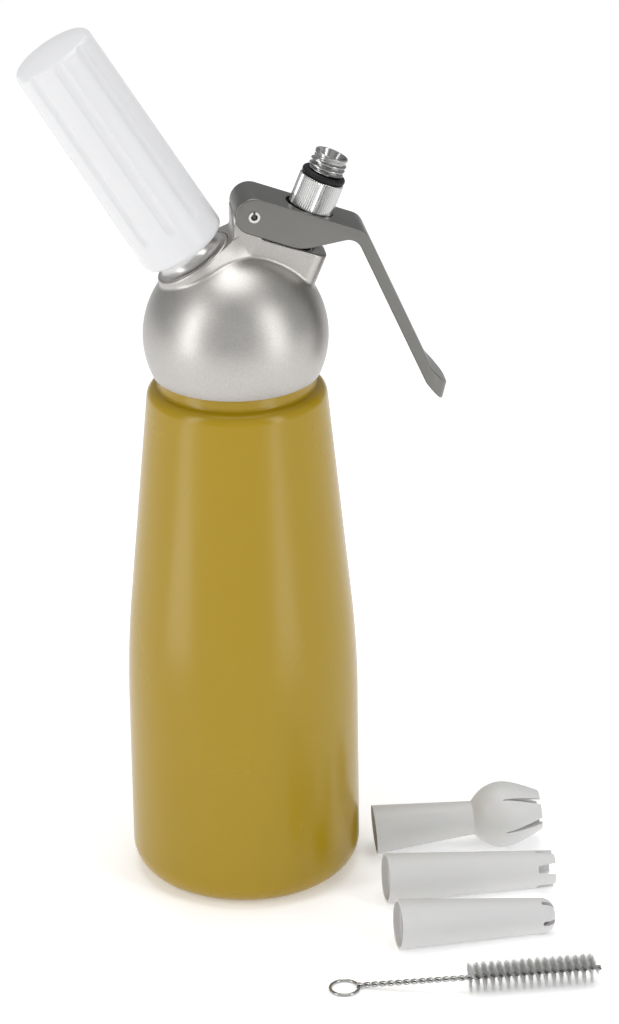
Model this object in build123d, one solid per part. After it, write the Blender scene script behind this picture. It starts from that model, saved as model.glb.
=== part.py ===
from build123d import *
from math import acos, asin, atan, atan2, cos, degrees, hypot, radians, sin, sqrt, tan
import os

# Half-litre whipped cream dispenser. Millimetres. The origin is the centre of the bottle's flat base,
# +Z is up the bottle, +X points to the lever's handle, and XZ is the plane of symmetry of the head.
# Stations along the piston's and the holder's tilted axes count from the point at the datum height.

# ---- bottle ----
bottle_radius = 41.0
bottle_wall = 1.8
base_corner_radius = 10.4
taper_start_height = 85.6
taper_bend_radius = 390.0
shoulder_height = 185.6
shoulder_ledge = 3.85
shoulder_radius = 4.5
neck_foot_rise = 1.4
neck_foot_radius = 1.2
neck_band_length = 6.0
neck_step = 1.7
neck_wall = 2.3
neck_thread_length = 12.0
neck_thread_pitch = 3.5
neck_thread_depth = 0.95

# ---- fits, and the plain end of a thread in pitches ----
press_gap = 0.01
running_clearance = 0.05
thread_clearance = 0.1
thread_runout = 0.6

# ---- head ----
head_radius = 32.2
head_wall = 5.5
rim_lap = 1.5
rim_wall = 1.43
rim_gap = 0.4
rim_recess_depth = 2.6
gasket_section = 2.4
gasket_step = 0.8

# ---- lever pivot, above the head's crown ----
pivot_x = 6.2
pivot_rise = 13.45
pin_radius = 2.0
pin_wall = 0.85
pin_slit = 0.8
pin_proud = 0.4

# ---- lever ----
lever_width = 19.2
lever_sheet = 1.3
lever_end_radius = 6.5
lever_slope = 20.8
lever_bend_x = 44.5
lever_bend_radius = 6.0
wrap_drop = 0.15
handle_angle = 23.5
handle_depth = 3.85
handle_drop = 57.0
flare_angle = 41.0
flare_length = 9.1
flare_bend_radius = 6.0
tip_height = 7.0
tip_lean = 14.0
tip_inner_angle = 36.0
tip_round = 7.0
belly_x = 22.2
belly_rise = 9.8
belly_radius = 14.0
underside_bend_radius = 5.0
lever_edge_radius = 0.6

# ---- bracket on the head ----
side_gap = 0.25
bracket_left_x = -0.6
bracket_slope = 20.3
bracket_top_x = 20.4
bracket_top_drop = 12.85
ear_gap = 0.5
shoulder_gap = 0.5
bracket_end_reach = 10.95
bracket_end_round = 5.5
bracket_edge_radius = 0.7
bracket_blend_radius = 1.8
ear_foot_radius = 2.0
pad_corner_radius = 3.0

# ---- piston, on its tilted axis ----
piston_tilt = 22.35
piston_datum_x = 26.73
piston_datum_drop = 0.65
stem_radius = 4.5
stem_bore_radius = 2.6
stem_top = 6.5
stem_tail = 0.88
stem_thread_foot = -0.6
stem_thread_depth = 0.4
stem_thread_pitch = 1.0
collar_radius = 7.6
collar_thickness = 1.6
boss_radius = 2.0
boss_station = -6.4
boss_gap = 0.05
boss_reach = 2.0
bush_rise = 7.4
bush_length = 2.6
bush_radius = 6.9
seat_station = -26.0
seat_recess_radius = 8.6
seat_recess_depth = 10.0
seal_radius = 7.2
seal_thickness = 1.5
seat_gap = 0.02
valve_cap_radius = 7.4
valve_cap_thickness = 2.6
valve_screw_length = 2.2
port_radius = 1.2
port_rise = 1.4
piston_ring_rises = (3.6, 6.1)
piston_ring_section = 1.25
ring_clearance = 0.03
spring_wire = 0.9
spring_turns = 4
spring_radius = 5.9
spring_end_gap = 0.02

# ---- nozzle adapter, on the piston ----
sleeve_radius = 7.9
sleeve_bottom = -2.2
sleeve_top = 10.95
sleeve_chamfer = 0.4
adapter_core_radius = 5.38
adapter_ring_section = 2.35
adapter_thread_depth = 0.9
adapter_thread_pitch = 1.75
adapter_thread_gap = 1.1
adapter_thread_length = 3.8
rim_step = 0.7
rim_thickness = 1.2
rim_radius = 5.9
rim_chamfer = 0.35
spout_radius = 3.9
spout_lip = 0.35
spout_flare_depth = 3.4
outlet_radius = 3.0
outlet_web = 1.2
adapter_gasket_thickness = 1.0
hole_side_gap = 0.25
hole_front_gap = 0.3
hole_back_gap = 1.2

# ---- charger inlet and holder, on their tilted axis ----
holder_tilt = -31.0
holder_datum_x = -18.2
holder_datum_rise = 2.8
collar_pad_radius = 14.2
collar_pad_station = -7.0
collar_pad_height = 11.5
collar_pad_edge = 1.0
inlet_flare_radius = 13.0
inlet_flange = 0.5
inlet_waist_radius = 10.2
inlet_waist_station = -3.4
inlet_thread_depth = 0.8
inlet_thread_pitch = 2.0
inlet_top = 14.0
inlet_recess_depth = 3.2
inlet_gasket_thickness = 1.2
inlet_shank_radius = 6.0
inlet_shank_end = -13.2
gas_passage_radius = 1.4
nipple_radius = 3.0
nipple_length = 5.2
nipple_floor = 1.2
nipple_hole_radius = 0.8
valve_sleeve_wall = 1.2
valve_sleeve_margin = 0.3
piercing_radius = 0.9
piercing_bore_radius = 0.35
piercing_root = 4.0
piercing_reach = 3.8
holder_bottom = -2.1
holder_end_wall = 3.5
holder_crown_rise = 2.2
holder_bottom_radius = 15.45
holder_taper = 0.75
holder_edge_radius = 2.2
holder_crown_radius = 2.4
holder_thread_gap = 0.4
flute_count = 9
flute_first_angle = -86.0
flute_cutter_radius = 3.0
flute_depth = 0.75
flute_bottom = 8.2
charger_radius = 9.3
charger_length = 65.5
charger_neck_radius = 4.4
charger_neck_length = 7.5
charger_shoulder = 7.5
charger_wall = 1.8
charger_seal = 0.8
charger_mouth_radius = 1.3
charger_clearance = 0.25
charger_neck_clearance = 0.35

# ---- decorator tips, lying on the floor, each at a gap from the bottle's side ----
tip_mouth_radius = 8.9
tip_wall = 1.4
tip_socket_depth = 10.0
tip_seat_gap = 0.25
tulip_gap = 5.5
tulip_y = -3.5
tulip_heading = -1.0
tulip_neck_radius = 6.1
tulip_neck_station = 36.2
tulip_throat_radius = 9.3
tulip_throat_rise = 3.2
tulip_throat_slant = 45.0
tulip_bulb_radius = 11.95
tulip_bulb_rise = 7.4
tulip_brow_radius = 10.4
tulip_brow_rise = 6.9
tulip_end_radius = 7.2
tulip_end_rise = 7.3
tulip_slits = 6
tulip_slit_turn = 7.2
tulip_slit_foot = 0.3
tulip_slit_width = 2.7
crown_gap = 4.4
crown_y = -40.4
crown_heading = 2.5
crown_length = 61.0
crown_end_radius = 6.5
crown_edge_radius = 0.6
crown_notches = 5
crown_notch_turn = 9.6
crown_notch_foot = 2.5
crown_notch_width = 4.3
crown_notch_depth = 6.6
dome_tip_gap = 3.9
dome_tip_y = -74.0
dome_tip_heading = 3.5
dome_tip_length = 56.0
dome_tip_end_radius = 6.05
dome_tip_flat = 0.55
dome_slots = 5
dome_slot_turn = 35.6
dome_slot_width = 1.6
dome_slot_depth = 4.8

# ---- cleaning brush, lying on the floor ----
brush_ring_centre = (22.3, -100.3)
brush_ring_radius = 5.0
brush_ring_wire = 0.8
brush_stem_wire = 1.0
brush_stem_bend = 22.0
brush_stem_lead = 4.0
bristle_start = (63.9, -108.9)
bristle_length = 45.0
bristle_radius = 5.9
bristle_round = 1.5
brush_end_length = 1.8

# ---- sizes that follow from the ones above ----
neck_foot_height = shoulder_height + neck_foot_rise
neck_band_top = neck_foot_height + neck_band_length
mouth_height = neck_band_top + neck_thread_length
head_centre_height = mouth_height
head_rim_height = neck_band_top - rim_lap
head_crown_height = head_centre_height + head_radius
rim_radius_outside = sqrt(head_radius ** 2 - (head_centre_height - head_rim_height) ** 2)
neck_radius = rim_radius_outside - rim_wall - rim_gap
thread_core_radius = neck_radius - neck_step
neck_bore_radius = thread_core_radius - neck_wall
gasket_step_radius = neck_bore_radius - gasket_step
shoulder_edge_radius = neck_radius + shoulder_ledge
pivot_height = head_crown_height + pivot_rise
bracket_top_height = pivot_height - bracket_top_drop
head_bore_radius = thread_core_radius + neck_thread_depth + thread_clearance
gasket_top = mouth_height + gasket_section
pad_inside_half = lever_width / 2 - lever_sheet
bracket_half_width = pad_inside_half - side_gap
pivot = Vector(pivot_x, 0, pivot_height)
web_direction = Vector(cos(radians(lever_slope)), 0, -sin(radians(lever_slope)))
web_normal = Vector(sin(radians(lever_slope)), 0, cos(radians(lever_slope)))
handle_direction = Vector(sin(radians(handle_angle)), 0, -cos(radians(handle_angle)))
handle_normal = Vector(cos(radians(handle_angle)), 0, sin(radians(handle_angle)))
flare_direction = Vector(sin(radians(flare_angle)), 0, -cos(radians(flare_angle)))
flare_normal = Vector(cos(radians(flare_angle)), 0, sin(radians(flare_angle)))
tip_direction = Vector(-sin(radians(tip_lean)), 0, -cos(radians(tip_lean)))
tip_normal = Vector(cos(radians(tip_lean)), 0, -sin(radians(tip_lean)))
web_start = pivot + web_normal * lever_end_radius
web_corner = web_start + web_direction * ((lever_bend_x - web_start.X) / web_direction.X)
flare_start = web_corner + handle_direction * handle_drop
tip_top = flare_start + flare_direction * flare_length
tip_bottom = tip_top + tip_direction * tip_height
piston_axis = Vector(sin(radians(piston_tilt)), 0, cos(radians(piston_tilt)))
piston_cross = Vector(cos(radians(piston_tilt)), 0, -sin(radians(piston_tilt)))
piston_datum = Vector(piston_datum_x, 0, pivot_height - piston_datum_drop)
holder_axis = Vector(sin(radians(holder_tilt)), 0, cos(radians(holder_tilt)))
holder_cross = Vector(cos(radians(holder_tilt)), 0, -sin(radians(holder_tilt)))
holder_datum = Vector(holder_datum_x, 0, head_crown_height + holder_datum_rise)
piston_frame = Plane(origin=piston_datum, x_dir=piston_cross, z_dir=piston_axis).location
holder_frame = Plane(origin=holder_datum, x_dir=holder_cross, z_dir=holder_axis).location
piston_bore_radius = stem_radius + running_clearance
piston_ring_outer = piston_bore_radius - ring_clearance
piston_ring_stations = [seat_station + rise for rise in piston_ring_rises]
port_station = seat_station + port_rise
bush_top = seat_station + bush_rise
bush_bottom = bush_top - bush_length
collar_top = boss_station - boss_radius - boss_gap
collar_bottom = collar_top - collar_thickness
valve_seal_top = seat_station - seat_gap
valve_seal_bottom = valve_seal_top - seal_thickness
valve_cap_bottom = valve_seal_bottom - valve_cap_thickness
stem_bottom = valve_seal_bottom - stem_tail
adapter_gasket_top = stem_top + adapter_gasket_thickness
adapter_ring_radius = adapter_core_radius + press_gap + adapter_ring_section / 2
adapter_thread_radius = adapter_core_radius + adapter_thread_depth
adapter_thread_start = sleeve_top + adapter_ring_section + adapter_thread_gap
adapter_thread_end = adapter_thread_start + adapter_thread_length
rim_bottom = adapter_thread_end + rim_step
rim_top = rim_bottom + rim_thickness
spout_mouth_radius = rim_radius - rim_chamfer - spout_lip
inlet_thread_radius = inlet_waist_radius + inlet_thread_depth
inlet_recess_radius = charger_neck_radius + charger_neck_clearance
recess_floor = inlet_top - inlet_recess_depth
charger_foot = recess_floor + inlet_gasket_thickness
charger_end = charger_foot + charger_length
holder_corner = charger_end + holder_end_wall
holder_top = holder_corner + holder_crown_rise
holder_top_radius = holder_bottom_radius - holder_taper
nipple_end = inlet_shank_end - nipple_length
tip_bore_radius = adapter_thread_radius + thread_clearance
tip_seat_radius = adapter_ring_radius + adapter_ring_section / 2 + tip_seat_gap
tulip_throat_station = tulip_neck_station + tulip_throat_rise
tulip_bulb_station = tulip_throat_station + tulip_bulb_rise
tulip_brow_station = tulip_bulb_station + tulip_brow_rise
tulip_length = tulip_brow_station + tulip_end_rise
dome_tip_round = dome_tip_end_radius - dome_tip_flat


def revolve_profile(*points):
    """A solid of revolution about Z from a closed outline of (radius, height) points."""
    outline = Polyline([(r, 0, z) for r, z in points], close=True)
    return revolve(make_face(outline), Axis.Z)


def tube(outer, inner, bottom, top):
    """A round tube on Z between two stations."""
    return revolve_profile((inner, bottom), (outer, bottom), (outer, top), (inner, top))


def rod(radius, bottom, top):
    """A round bar on Z between two stations."""
    return Pos(0, 0, bottom) * Cylinder(radius, top - bottom, align=(Align.CENTER, Align.CENTER, Align.MIN))


def cross_rod(centre, radius, length):
    """A round bar along Y, centred on the plane of symmetry."""
    return Pos(*centre) * Rot(90, 0, 0) * Cylinder(radius, length)


def ring(radius, section, station):
    """An O-ring on Z with its centre line at a station."""
    return Pos(0, 0, station) * Torus(radius, section / 2)


def thread_ridge(core_radius, depth, pitch, start, end):
    """The ridge of a right-hand screw thread, a trapezium carried along a helix."""
    root = core_radius - 0.15
    crest = core_radius + depth
    path = Pos(0, 0, start) * Helix(pitch, end - start, root)
    section = Plane(origin=path @ 0, x_dir=(1, 0, 0), z_dir=path % 0) * Polygon(
        (0, -0.42 * pitch), (crest - root, -0.12 * pitch), (crest - root, 0.12 * pitch), (0, 0.42 * pitch),
        align=None)
    return sweep(section, path, is_frenet=True)


def slab(outline, half_width):
    """A closed XZ outline carried to both sides of the plane of symmetry."""
    return extrude(make_face(outline), amount=half_width, dir=(0, 1, 0), both=True)


def meet(point_a, direction_a, point_b, direction_b):
    """Where two lines in the XZ plane cross."""
    cross = direction_a.X * direction_b.Z - direction_a.Z * direction_b.X
    gap = point_b - point_a
    return point_a + direction_a * ((gap.X * direction_b.Z - gap.Z * direction_b.X) / cross)


def lay_down(tip, gap, y, heading, rise):
    """A tip modelled upright on its mouth, laid on the floor at a gap from the bottle's side."""
    laid = Pos(bottle_radius + gap, y, 0) * Rot(0, 0, heading) * Rot(0, 90 - rise, 0) * tip
    return Pos(0, 0, -laid.bounding_box().min.Z) * laid


# ---- bottle ----
def build_bottle():
    """Flask with a flat base, a straight body, a gently tapered upper part and a threaded neck."""
    outer = FilletPolyline(
        (0, 0, 0), (bottle_radius, 0, 0), (bottle_radius, 0, taper_start_height),
        (shoulder_edge_radius, 0, shoulder_height), (neck_radius, 0, neck_foot_height),
        (neck_radius, 0, neck_band_top), (thread_core_radius, 0, neck_band_top),
        (thread_core_radius, 0, mouth_height), (neck_bore_radius, 0, mouth_height),
        radius=(base_corner_radius, taper_bend_radius, shoulder_radius, neck_foot_radius, 0, 0, 0))
    inner = FilletPolyline(
        (neck_bore_radius, 0, mouth_height), (neck_bore_radius, 0, neck_foot_height - bottle_wall),
        (shoulder_edge_radius - bottle_wall, 0, shoulder_height - bottle_wall),
        (bottle_radius - bottle_wall, 0, taper_start_height), (bottle_radius - bottle_wall, 0, bottle_wall),
        (0, 0, bottle_wall),
        radius=(neck_foot_radius, shoulder_radius - bottle_wall, taper_bend_radius,
                base_corner_radius - bottle_wall))
    axis_line = Line((0, 0, bottle_wall), (0, 0, 0))
    shell = revolve(make_face(outer + inner + axis_line), Axis.Z)
    thread_start = neck_band_top + thread_runout * neck_thread_pitch
    thread_end = mouth_height - thread_runout * neck_thread_pitch
    return shell + thread_ridge(thread_core_radius, neck_thread_depth, neck_thread_pitch, thread_start,
                                thread_end)


def build_head_gasket():
    """Flat rubber ring between the bottle's mouth and the head."""
    return tube(head_bore_radius - thread_clearance, neck_bore_radius, mouth_height, gasket_top)


# ---- head ----
def bracket_outline():
    """Side outline of the bracket: left face, ear round the pin, sloping top and tilted right end."""
    ear_radius = lever_end_radius - lever_sheet - ear_gap
    ear_left = pivot + Vector(-ear_radius, 0, 0)
    shoulder = Vector(bracket_left_x, 0, pivot_height - shoulder_gap)
    shoulder_inner = Vector(pivot_x - ear_radius, 0, pivot_height - shoulder_gap)
    ear_top = pivot + piston_axis * ear_radius
    ear_right = pivot + piston_cross * ear_radius
    top_direction = Vector(cos(radians(bracket_slope)), 0, -sin(radians(bracket_slope)))
    top_point = Vector(bracket_top_x, 0, bracket_top_height)
    ear_foot = meet(ear_right, piston_axis, top_point, top_direction)
    end_top = meet(piston_datum + piston_cross * bracket_end_reach, piston_axis, top_point, top_direction)
    end_bottom = end_top - piston_axis * (head_radius - head_wall)
    inside = Vector(bracket_left_x, 0, head_centre_height + head_radius - 2 * head_wall)
    corner_bottom = Vector(end_bottom.X, 0, head_centre_height + head_wall)
    return (Polyline([inside, shoulder, shoulder_inner, ear_left])
            + ThreePointArc(ear_left, ear_top, ear_right)
            + FilletPolyline(ear_right, ear_foot, end_top, end_bottom, corner_bottom, inside,
                             radius=(ear_foot_radius, 0, 0, 0)))


def build_bracket():
    """Lug that carries the lever pin and the piston."""
    block = slab(bracket_outline(), bracket_half_width)
    end_edges = [e for e in block.edges().filter_by(GeomType.LINE)
                 if abs((e % 0).dot(piston_axis)) > 0.999
                 and (e.center() - piston_datum).dot(piston_cross) > bracket_end_reach - 1]
    block = fillet(end_edges, bracket_end_round)
    top_point = Vector(bracket_top_x, bracket_half_width, bracket_top_height)
    return fillet(block.edges().sort_by_distance(top_point)[0], bracket_edge_radius)


def build_collar_pad():
    """Flat round pad under the charger inlet, drawn out by its tangents to meet the bracket."""
    pad_centre = holder_datum + holder_axis * collar_pad_station
    reach = (bracket_left_x + bracket_blend_radius - pad_centre.X) / holder_cross.X
    turn = atan2(bracket_half_width, reach) + acos(collar_pad_radius / hypot(reach, bracket_half_width))
    tangent = (collar_pad_radius * cos(turn), collar_pad_radius * sin(turn))
    web = Polygon(tangent, (reach, bracket_half_width), (reach, -bracket_half_width),
                  (tangent[0], -tangent[1]), align=None)
    face = Circle(collar_pad_radius) + web
    pad = extrude(face, amount=collar_pad_height, dir=(0, 0, 1))
    rim = pad.edges().group_by(Axis.Z)[-1].filter_by(GeomType.CIRCLE)
    return holder_frame * Pos(0, 0, collar_pad_station - collar_pad_height) * fillet(rim, collar_pad_edge)


def head_cavity():
    """The hollow of the head: rim recess, thread bore, gasket step, dome and the valve's recess."""
    dome = Pos(0, 0, head_centre_height) * Sphere(head_radius - head_wall)
    dome = dome & rod(gasket_step_radius, gasket_top, head_centre_height + head_radius)
    dome += piston_frame * rod(seat_recess_radius, seat_station - seat_recess_depth, seat_station)
    dome -= piston_frame * rod(seat_recess_radius, seat_station, seat_station + head_wall)
    cavity = rod(neck_radius + rim_gap, head_rim_height - 1, head_rim_height + rim_recess_depth)
    cavity += rod(head_bore_radius, head_rim_height, gasket_top)
    return cavity + dome + rod(gasket_step_radius, gasket_top - 1, gasket_top + 1)


def build_head():
    """Cast ball with its bracket, its collar pad, the thread bore, and the bores for piston and inlet."""
    centre = Vector(0, 0, head_centre_height)
    body = Pos(*centre) * Sphere(head_radius) + build_bracket() + build_collar_pad()
    feet = [e for e in body.edges() if e.center().Z > head_centre_height
            and all(abs((e @ t - centre).length - head_radius) < press_gap for t in (0, 0.5))]
    body = fillet(feet, bracket_blend_radius)
    left_edges = [e for e in body.edges().filter_by(Axis.Y) if abs(e.center().X - bracket_left_x) < press_gap]
    body = fillet(ShapeList(left_edges).sort_by(Axis.Z)[0], pad_corner_radius)
    body = body & rod(2 * head_radius, head_rim_height, pivot_height + head_radius)
    body -= head_cavity()
    body -= piston_frame * rod(bush_radius + press_gap, bush_bottom, stem_top)
    body -= piston_frame * rod(piston_bore_radius, seat_station - 1, stem_top)
    body -= holder_frame * rod(inlet_shank_radius + press_gap, inlet_shank_end - head_wall,
                               collar_pad_station + 1)
    return body - cross_rod(pivot, pin_radius + press_gap, lever_width)


# ---- lever ----
def lever_outline():
    """Side outline of the lever: web, bend, handle, flared finger tip, belly and round end."""
    underside_start = pivot - web_normal * lever_end_radius
    belly = underside_start + web_direction * ((belly_x - underside_start.X) / web_direction.X)
    rise_direction = Vector(cos(radians(belly_rise)), 0, sin(radians(belly_rise)))
    inner_point = web_corner - handle_normal * handle_depth
    underside_corner = meet(belly, rise_direction, inner_point, handle_direction)
    tip_inner_direction = Vector(sin(radians(tip_inner_angle)), 0, -cos(radians(tip_inner_angle)))
    inner_bend = meet(inner_point, handle_direction, tip_bottom, tip_inner_direction)
    edge = FilletPolyline(
        underside_start, belly, underside_corner, inner_bend, tip_bottom, tip_top, flare_start, web_corner,
        web_start,
        radius=(belly_radius, underside_bend_radius, flare_bend_radius, 0, 0, flare_bend_radius,
                lever_bend_radius))
    return edge + ThreePointArc(web_start, pivot - web_direction * lever_end_radius, underside_start)


def channel_outline():
    """What is taken out between the lever's side plates: all but one sheet under the web and the handle."""
    end_radius = lever_end_radius - lever_sheet
    inner_start = pivot + web_normal * end_radius
    wrap_height = pivot_height - wrap_drop
    wrap_end = Vector(pivot_x - sqrt(end_radius ** 2 - wrap_drop ** 2), 0, wrap_height)
    wrap_middle = pivot + (web_normal + Vector(-1, 0, 0)).normalized() * end_radius
    handle_point = web_corner - handle_normal * lever_sheet
    flare_point = tip_top - flare_normal * lever_sheet
    wall_point = tip_top - tip_normal * lever_sheet
    bend = meet(inner_start, web_direction, handle_point, handle_direction)
    flare_bend = meet(handle_point, handle_direction, flare_point, flare_direction)
    wall_top = meet(flare_point, flare_direction, wall_point, tip_direction)
    wall_bottom = wall_top + tip_direction * (2 * tip_height)
    far_x = pivot_x - 2 * lever_end_radius
    return (ThreePointArc(inner_start, wrap_middle, wrap_end)
            + Polyline([wrap_end, (far_x, 0, wrap_height), (far_x, 0, wall_bottom.Z), wall_bottom, wall_top])
            + FilletPolyline(wall_top, flare_bend, bend, inner_start,
                             radius=(flare_bend_radius + lever_sheet, lever_bend_radius - lever_sheet)))


def tip_corner_edges(part):
    """The straight edges of a slab that run along the end wall of the finger tip."""
    return [e for e in part.edges().filter_by(GeomType.LINE)
            if abs((e % 0).dot(tip_direction)) > 0.999 and abs(e.center().Y) > lever_width / 4]


def build_lever():
    """Folded sheet channel: a web over two side plates, a hole for the sleeve, and two pressing bosses."""
    blank = slab(lever_outline(), lever_width / 2)
    blank = fillet(tip_corner_edges(blank), tip_round)
    rim = [e for e in blank.edges() if abs(e.center().Y) > lever_width / 2 - press_gap
           and abs((e % 0.5).dot(tip_direction)) < 0.999]
    blank = fillet(rim, lever_edge_radius)
    channel = slab(channel_outline(), pad_inside_half)
    channel = fillet(tip_corner_edges(channel), tip_round - lever_sheet)
    hole_radius = sleeve_radius + hole_side_gap
    front = Circle(hole_radius).moved(Pos(sleeve_radius + hole_front_gap - hole_radius, 0, 0))
    back = Circle(hole_radius).moved(Pos(hole_radius - sleeve_radius - hole_back_gap, 0, 0))
    hole = extrude(make_hull((front + back).edges()), amount=2 * lever_sheet, both=True)
    boss_centre = piston_datum + piston_axis * boss_station
    bosses = cross_rod(boss_centre, boss_radius, lever_width - lever_sheet)
    bosses -= cross_rod(boss_centre, 2 * boss_radius, 2 * (pad_inside_half - boss_reach))
    lever = blank - channel - piston_frame * hole + bosses
    return lever - cross_rod(pivot, pin_radius + running_clearance, 2 * lever_width)


def build_lever_pin():
    """Slotted spring pin through the bracket and both side plates of the lever."""
    length = lever_width + 2 * pin_proud
    pin = cross_rod(pivot, pin_radius, length) - cross_rod(pivot, pin_radius - pin_wall, 2 * length)
    return pin - Pos(pivot.X, 0, pivot.Z + pin_radius) * Box(pin_slit, 2 * length, 2 * pin_radius)


# ---- piston group ----
def build_piston():
    """Valve tube with a collar that the lever presses, two O-ring grooves, side ports and a top thread."""
    groove_radius = piston_ring_outer - piston_ring_section - press_gap
    groove_half = piston_ring_section / 2 + running_clearance
    thread_core = stem_radius - stem_thread_depth
    stem = rod(stem_radius, stem_bottom, stem_thread_foot) + rod(thread_core, stem_thread_foot, stem_top)
    stem += rod(collar_radius, collar_bottom, collar_top)
    stem += thread_ridge(thread_core, stem_thread_depth, stem_thread_pitch,
                         stem_thread_foot + stem_thread_pitch, stem_top - stem_thread_pitch)
    for station in piston_ring_stations:
        stem -= tube(2 * stem_radius, groove_radius, station - groove_half, station + groove_half)
    stem -= rod(stem_bore_radius, stem_bottom - 1, stem_top + 1)
    port = Pos(0, 0, port_station) * Rot(0, 90, 0) * Cylinder(port_radius, 4 * stem_radius)
    return piston_frame * (stem - port - Rot(0, 0, 90) * port)


def build_piston_o_rings():
    """Two rubber O-rings in the piston's grooves."""
    centre_radius = piston_ring_outer - piston_ring_section / 2
    rings = [ring(centre_radius, piston_ring_section, station) for station in piston_ring_stations]
    return Compound(children=[piston_frame * r for r in rings])


def build_piston_spring():
    """Coil spring that lifts the piston, between the guide bush and the collar."""
    end_gap = spring_wire / 2 + spring_end_gap
    length = collar_bottom - bush_top - 2 * end_gap
    path = Pos(0, 0, bush_top + end_gap) * Helix(length / spring_turns, length, spring_radius)
    wire = Plane(origin=path @ 0, z_dir=path % 0) * Circle(spring_wire / 2)
    return piston_frame * sweep(wire, path, is_frenet=True)


def build_piston_bush():
    """Guide bush pressed into the bracket under the spring."""
    return piston_frame * tube(bush_radius, piston_bore_radius, bush_bottom, bush_top)


def build_valve_seal():
    """Rubber disc that closes on the seat inside the head."""
    return piston_frame * tube(seal_radius, stem_radius + press_gap, valve_seal_bottom, valve_seal_top)


def build_valve_cap():
    """Cup screwed into the end of the piston, which carries the valve seal."""
    cap = rod(valve_cap_radius, valve_cap_bottom, valve_seal_bottom)
    cap -= rod(stem_radius + press_gap, stem_bottom, valve_seal_bottom + 1)
    cap += rod(stem_bore_radius - press_gap, valve_cap_bottom, stem_bottom + valve_screw_length)
    return piston_frame * cap


# ---- nozzle adapter ----
def build_nozzle_adapter():
    """Sleeve screwed onto the piston, with an O-ring seat, a thread for the tips and an open spout."""
    body = revolve_profile(
        (0, sleeve_bottom), (sleeve_radius - sleeve_chamfer, sleeve_bottom),
        (sleeve_radius, sleeve_bottom + sleeve_chamfer), (sleeve_radius, sleeve_top - sleeve_chamfer),
        (sleeve_radius - sleeve_chamfer, sleeve_top), (adapter_core_radius, sleeve_top),
        (adapter_core_radius, rim_bottom), (rim_radius, rim_bottom + rim_chamfer),
        (rim_radius, rim_top - rim_chamfer), (rim_radius - rim_chamfer, rim_top), (0, rim_top))
    body += thread_ridge(adapter_core_radius, adapter_thread_depth, adapter_thread_pitch,
                         adapter_thread_start, adapter_thread_end)
    body -= rod(piston_bore_radius, sleeve_bottom - 1, adapter_gasket_top)
    body -= rod(outlet_radius, adapter_gasket_top - 1, rim_top)
    body -= rod(spout_radius, adapter_gasket_top + outlet_web, rim_top)
    flare_bottom = rim_top - spout_flare_depth
    return piston_frame * (body - revolve_profile((0, flare_bottom), (spout_radius, flare_bottom),
                                                  (spout_mouth_radius, rim_top), (0, rim_top)))


def build_adapter_o_ring():
    """Black O-ring on the adapter, which the tips press on."""
    station = sleeve_top + adapter_ring_section / 2
    return piston_frame * ring(adapter_ring_radius, adapter_ring_section, station)


def build_adapter_gasket():
    """Flat seal between the piston's top and the adapter's inner shoulder."""
    return piston_frame * tube(stem_radius - stem_thread_depth, outlet_radius, stem_top, adapter_gasket_top)


# ---- charger inlet ----
def build_charger_inlet():
    """Polished inlet: flared foot on the pad, thread for the holder, recess for the charger, inner nipple."""
    flare_top = collar_pad_station + inlet_flange
    bow = (inlet_flare_radius - inlet_waist_radius) * (1 - sqrt(0.5))
    flare_middle = (inlet_waist_radius + bow, 0, inlet_waist_station - (inlet_waist_station - flare_top)
                    * sqrt(0.5))
    outline = Polyline([
        (0, 0, nipple_end), (nipple_radius, 0, nipple_end), (nipple_radius, 0, inlet_shank_end),
        (inlet_shank_radius, 0, inlet_shank_end), (inlet_shank_radius, 0, collar_pad_station),
        (inlet_flare_radius, 0, collar_pad_station), (inlet_flare_radius, 0, flare_top)])
    outline += ThreePointArc((inlet_flare_radius, 0, flare_top), flare_middle,
                             (inlet_waist_radius, 0, inlet_waist_station))
    outline += Polyline([(inlet_waist_radius, 0, inlet_waist_station), (inlet_waist_radius, 0, inlet_top),
                         (0, 0, inlet_top), (0, 0, nipple_end)])
    inlet = revolve(make_face(outline), Axis.Z)
    inlet += thread_ridge(inlet_waist_radius, inlet_thread_depth, inlet_thread_pitch,
                          inlet_waist_station + inlet_thread_pitch, inlet_top - inlet_thread_pitch)
    inlet -= rod(inlet_recess_radius, recess_floor, inlet_top + 1)
    inlet -= rod(gas_passage_radius, nipple_end + nipple_floor, recess_floor + 1)
    hole_station = (nipple_end + nipple_floor + inlet_shank_end) / 2
    cross_hole = Pos(0, 0, hole_station) * Rot(0, 90, 0) * Cylinder(nipple_hole_radius, 4 * nipple_radius)
    return holder_frame * (inlet - cross_hole)


def build_piercing_pin():
    """Hollow steel point that opens the charger."""
    root = recess_floor - piercing_root
    point = recess_floor + piercing_reach
    return holder_frame * revolve_profile(
        (piercing_bore_radius, root), (gas_passage_radius - press_gap, root),
        (gas_passage_radius - press_gap, recess_floor), (piercing_radius, recess_floor),
        (piercing_radius, point - piercing_radius), (piercing_bore_radius + press_gap, point),
        (piercing_bore_radius, point))


def build_inlet_gasket():
    """Rubber washer under the charger's mouth."""
    washer = tube(inlet_recess_radius - press_gap, gas_passage_radius, recess_floor, charger_foot)
    return holder_frame * washer


def build_check_valve_sleeve():
    """Rubber sleeve over the nipple's side hole, which lets gas in and not out."""
    return holder_frame * tube(nipple_radius + valve_sleeve_wall, nipple_radius + press_gap,
                               nipple_end + valve_sleeve_margin, inlet_shank_end - valve_sleeve_margin)


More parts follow.
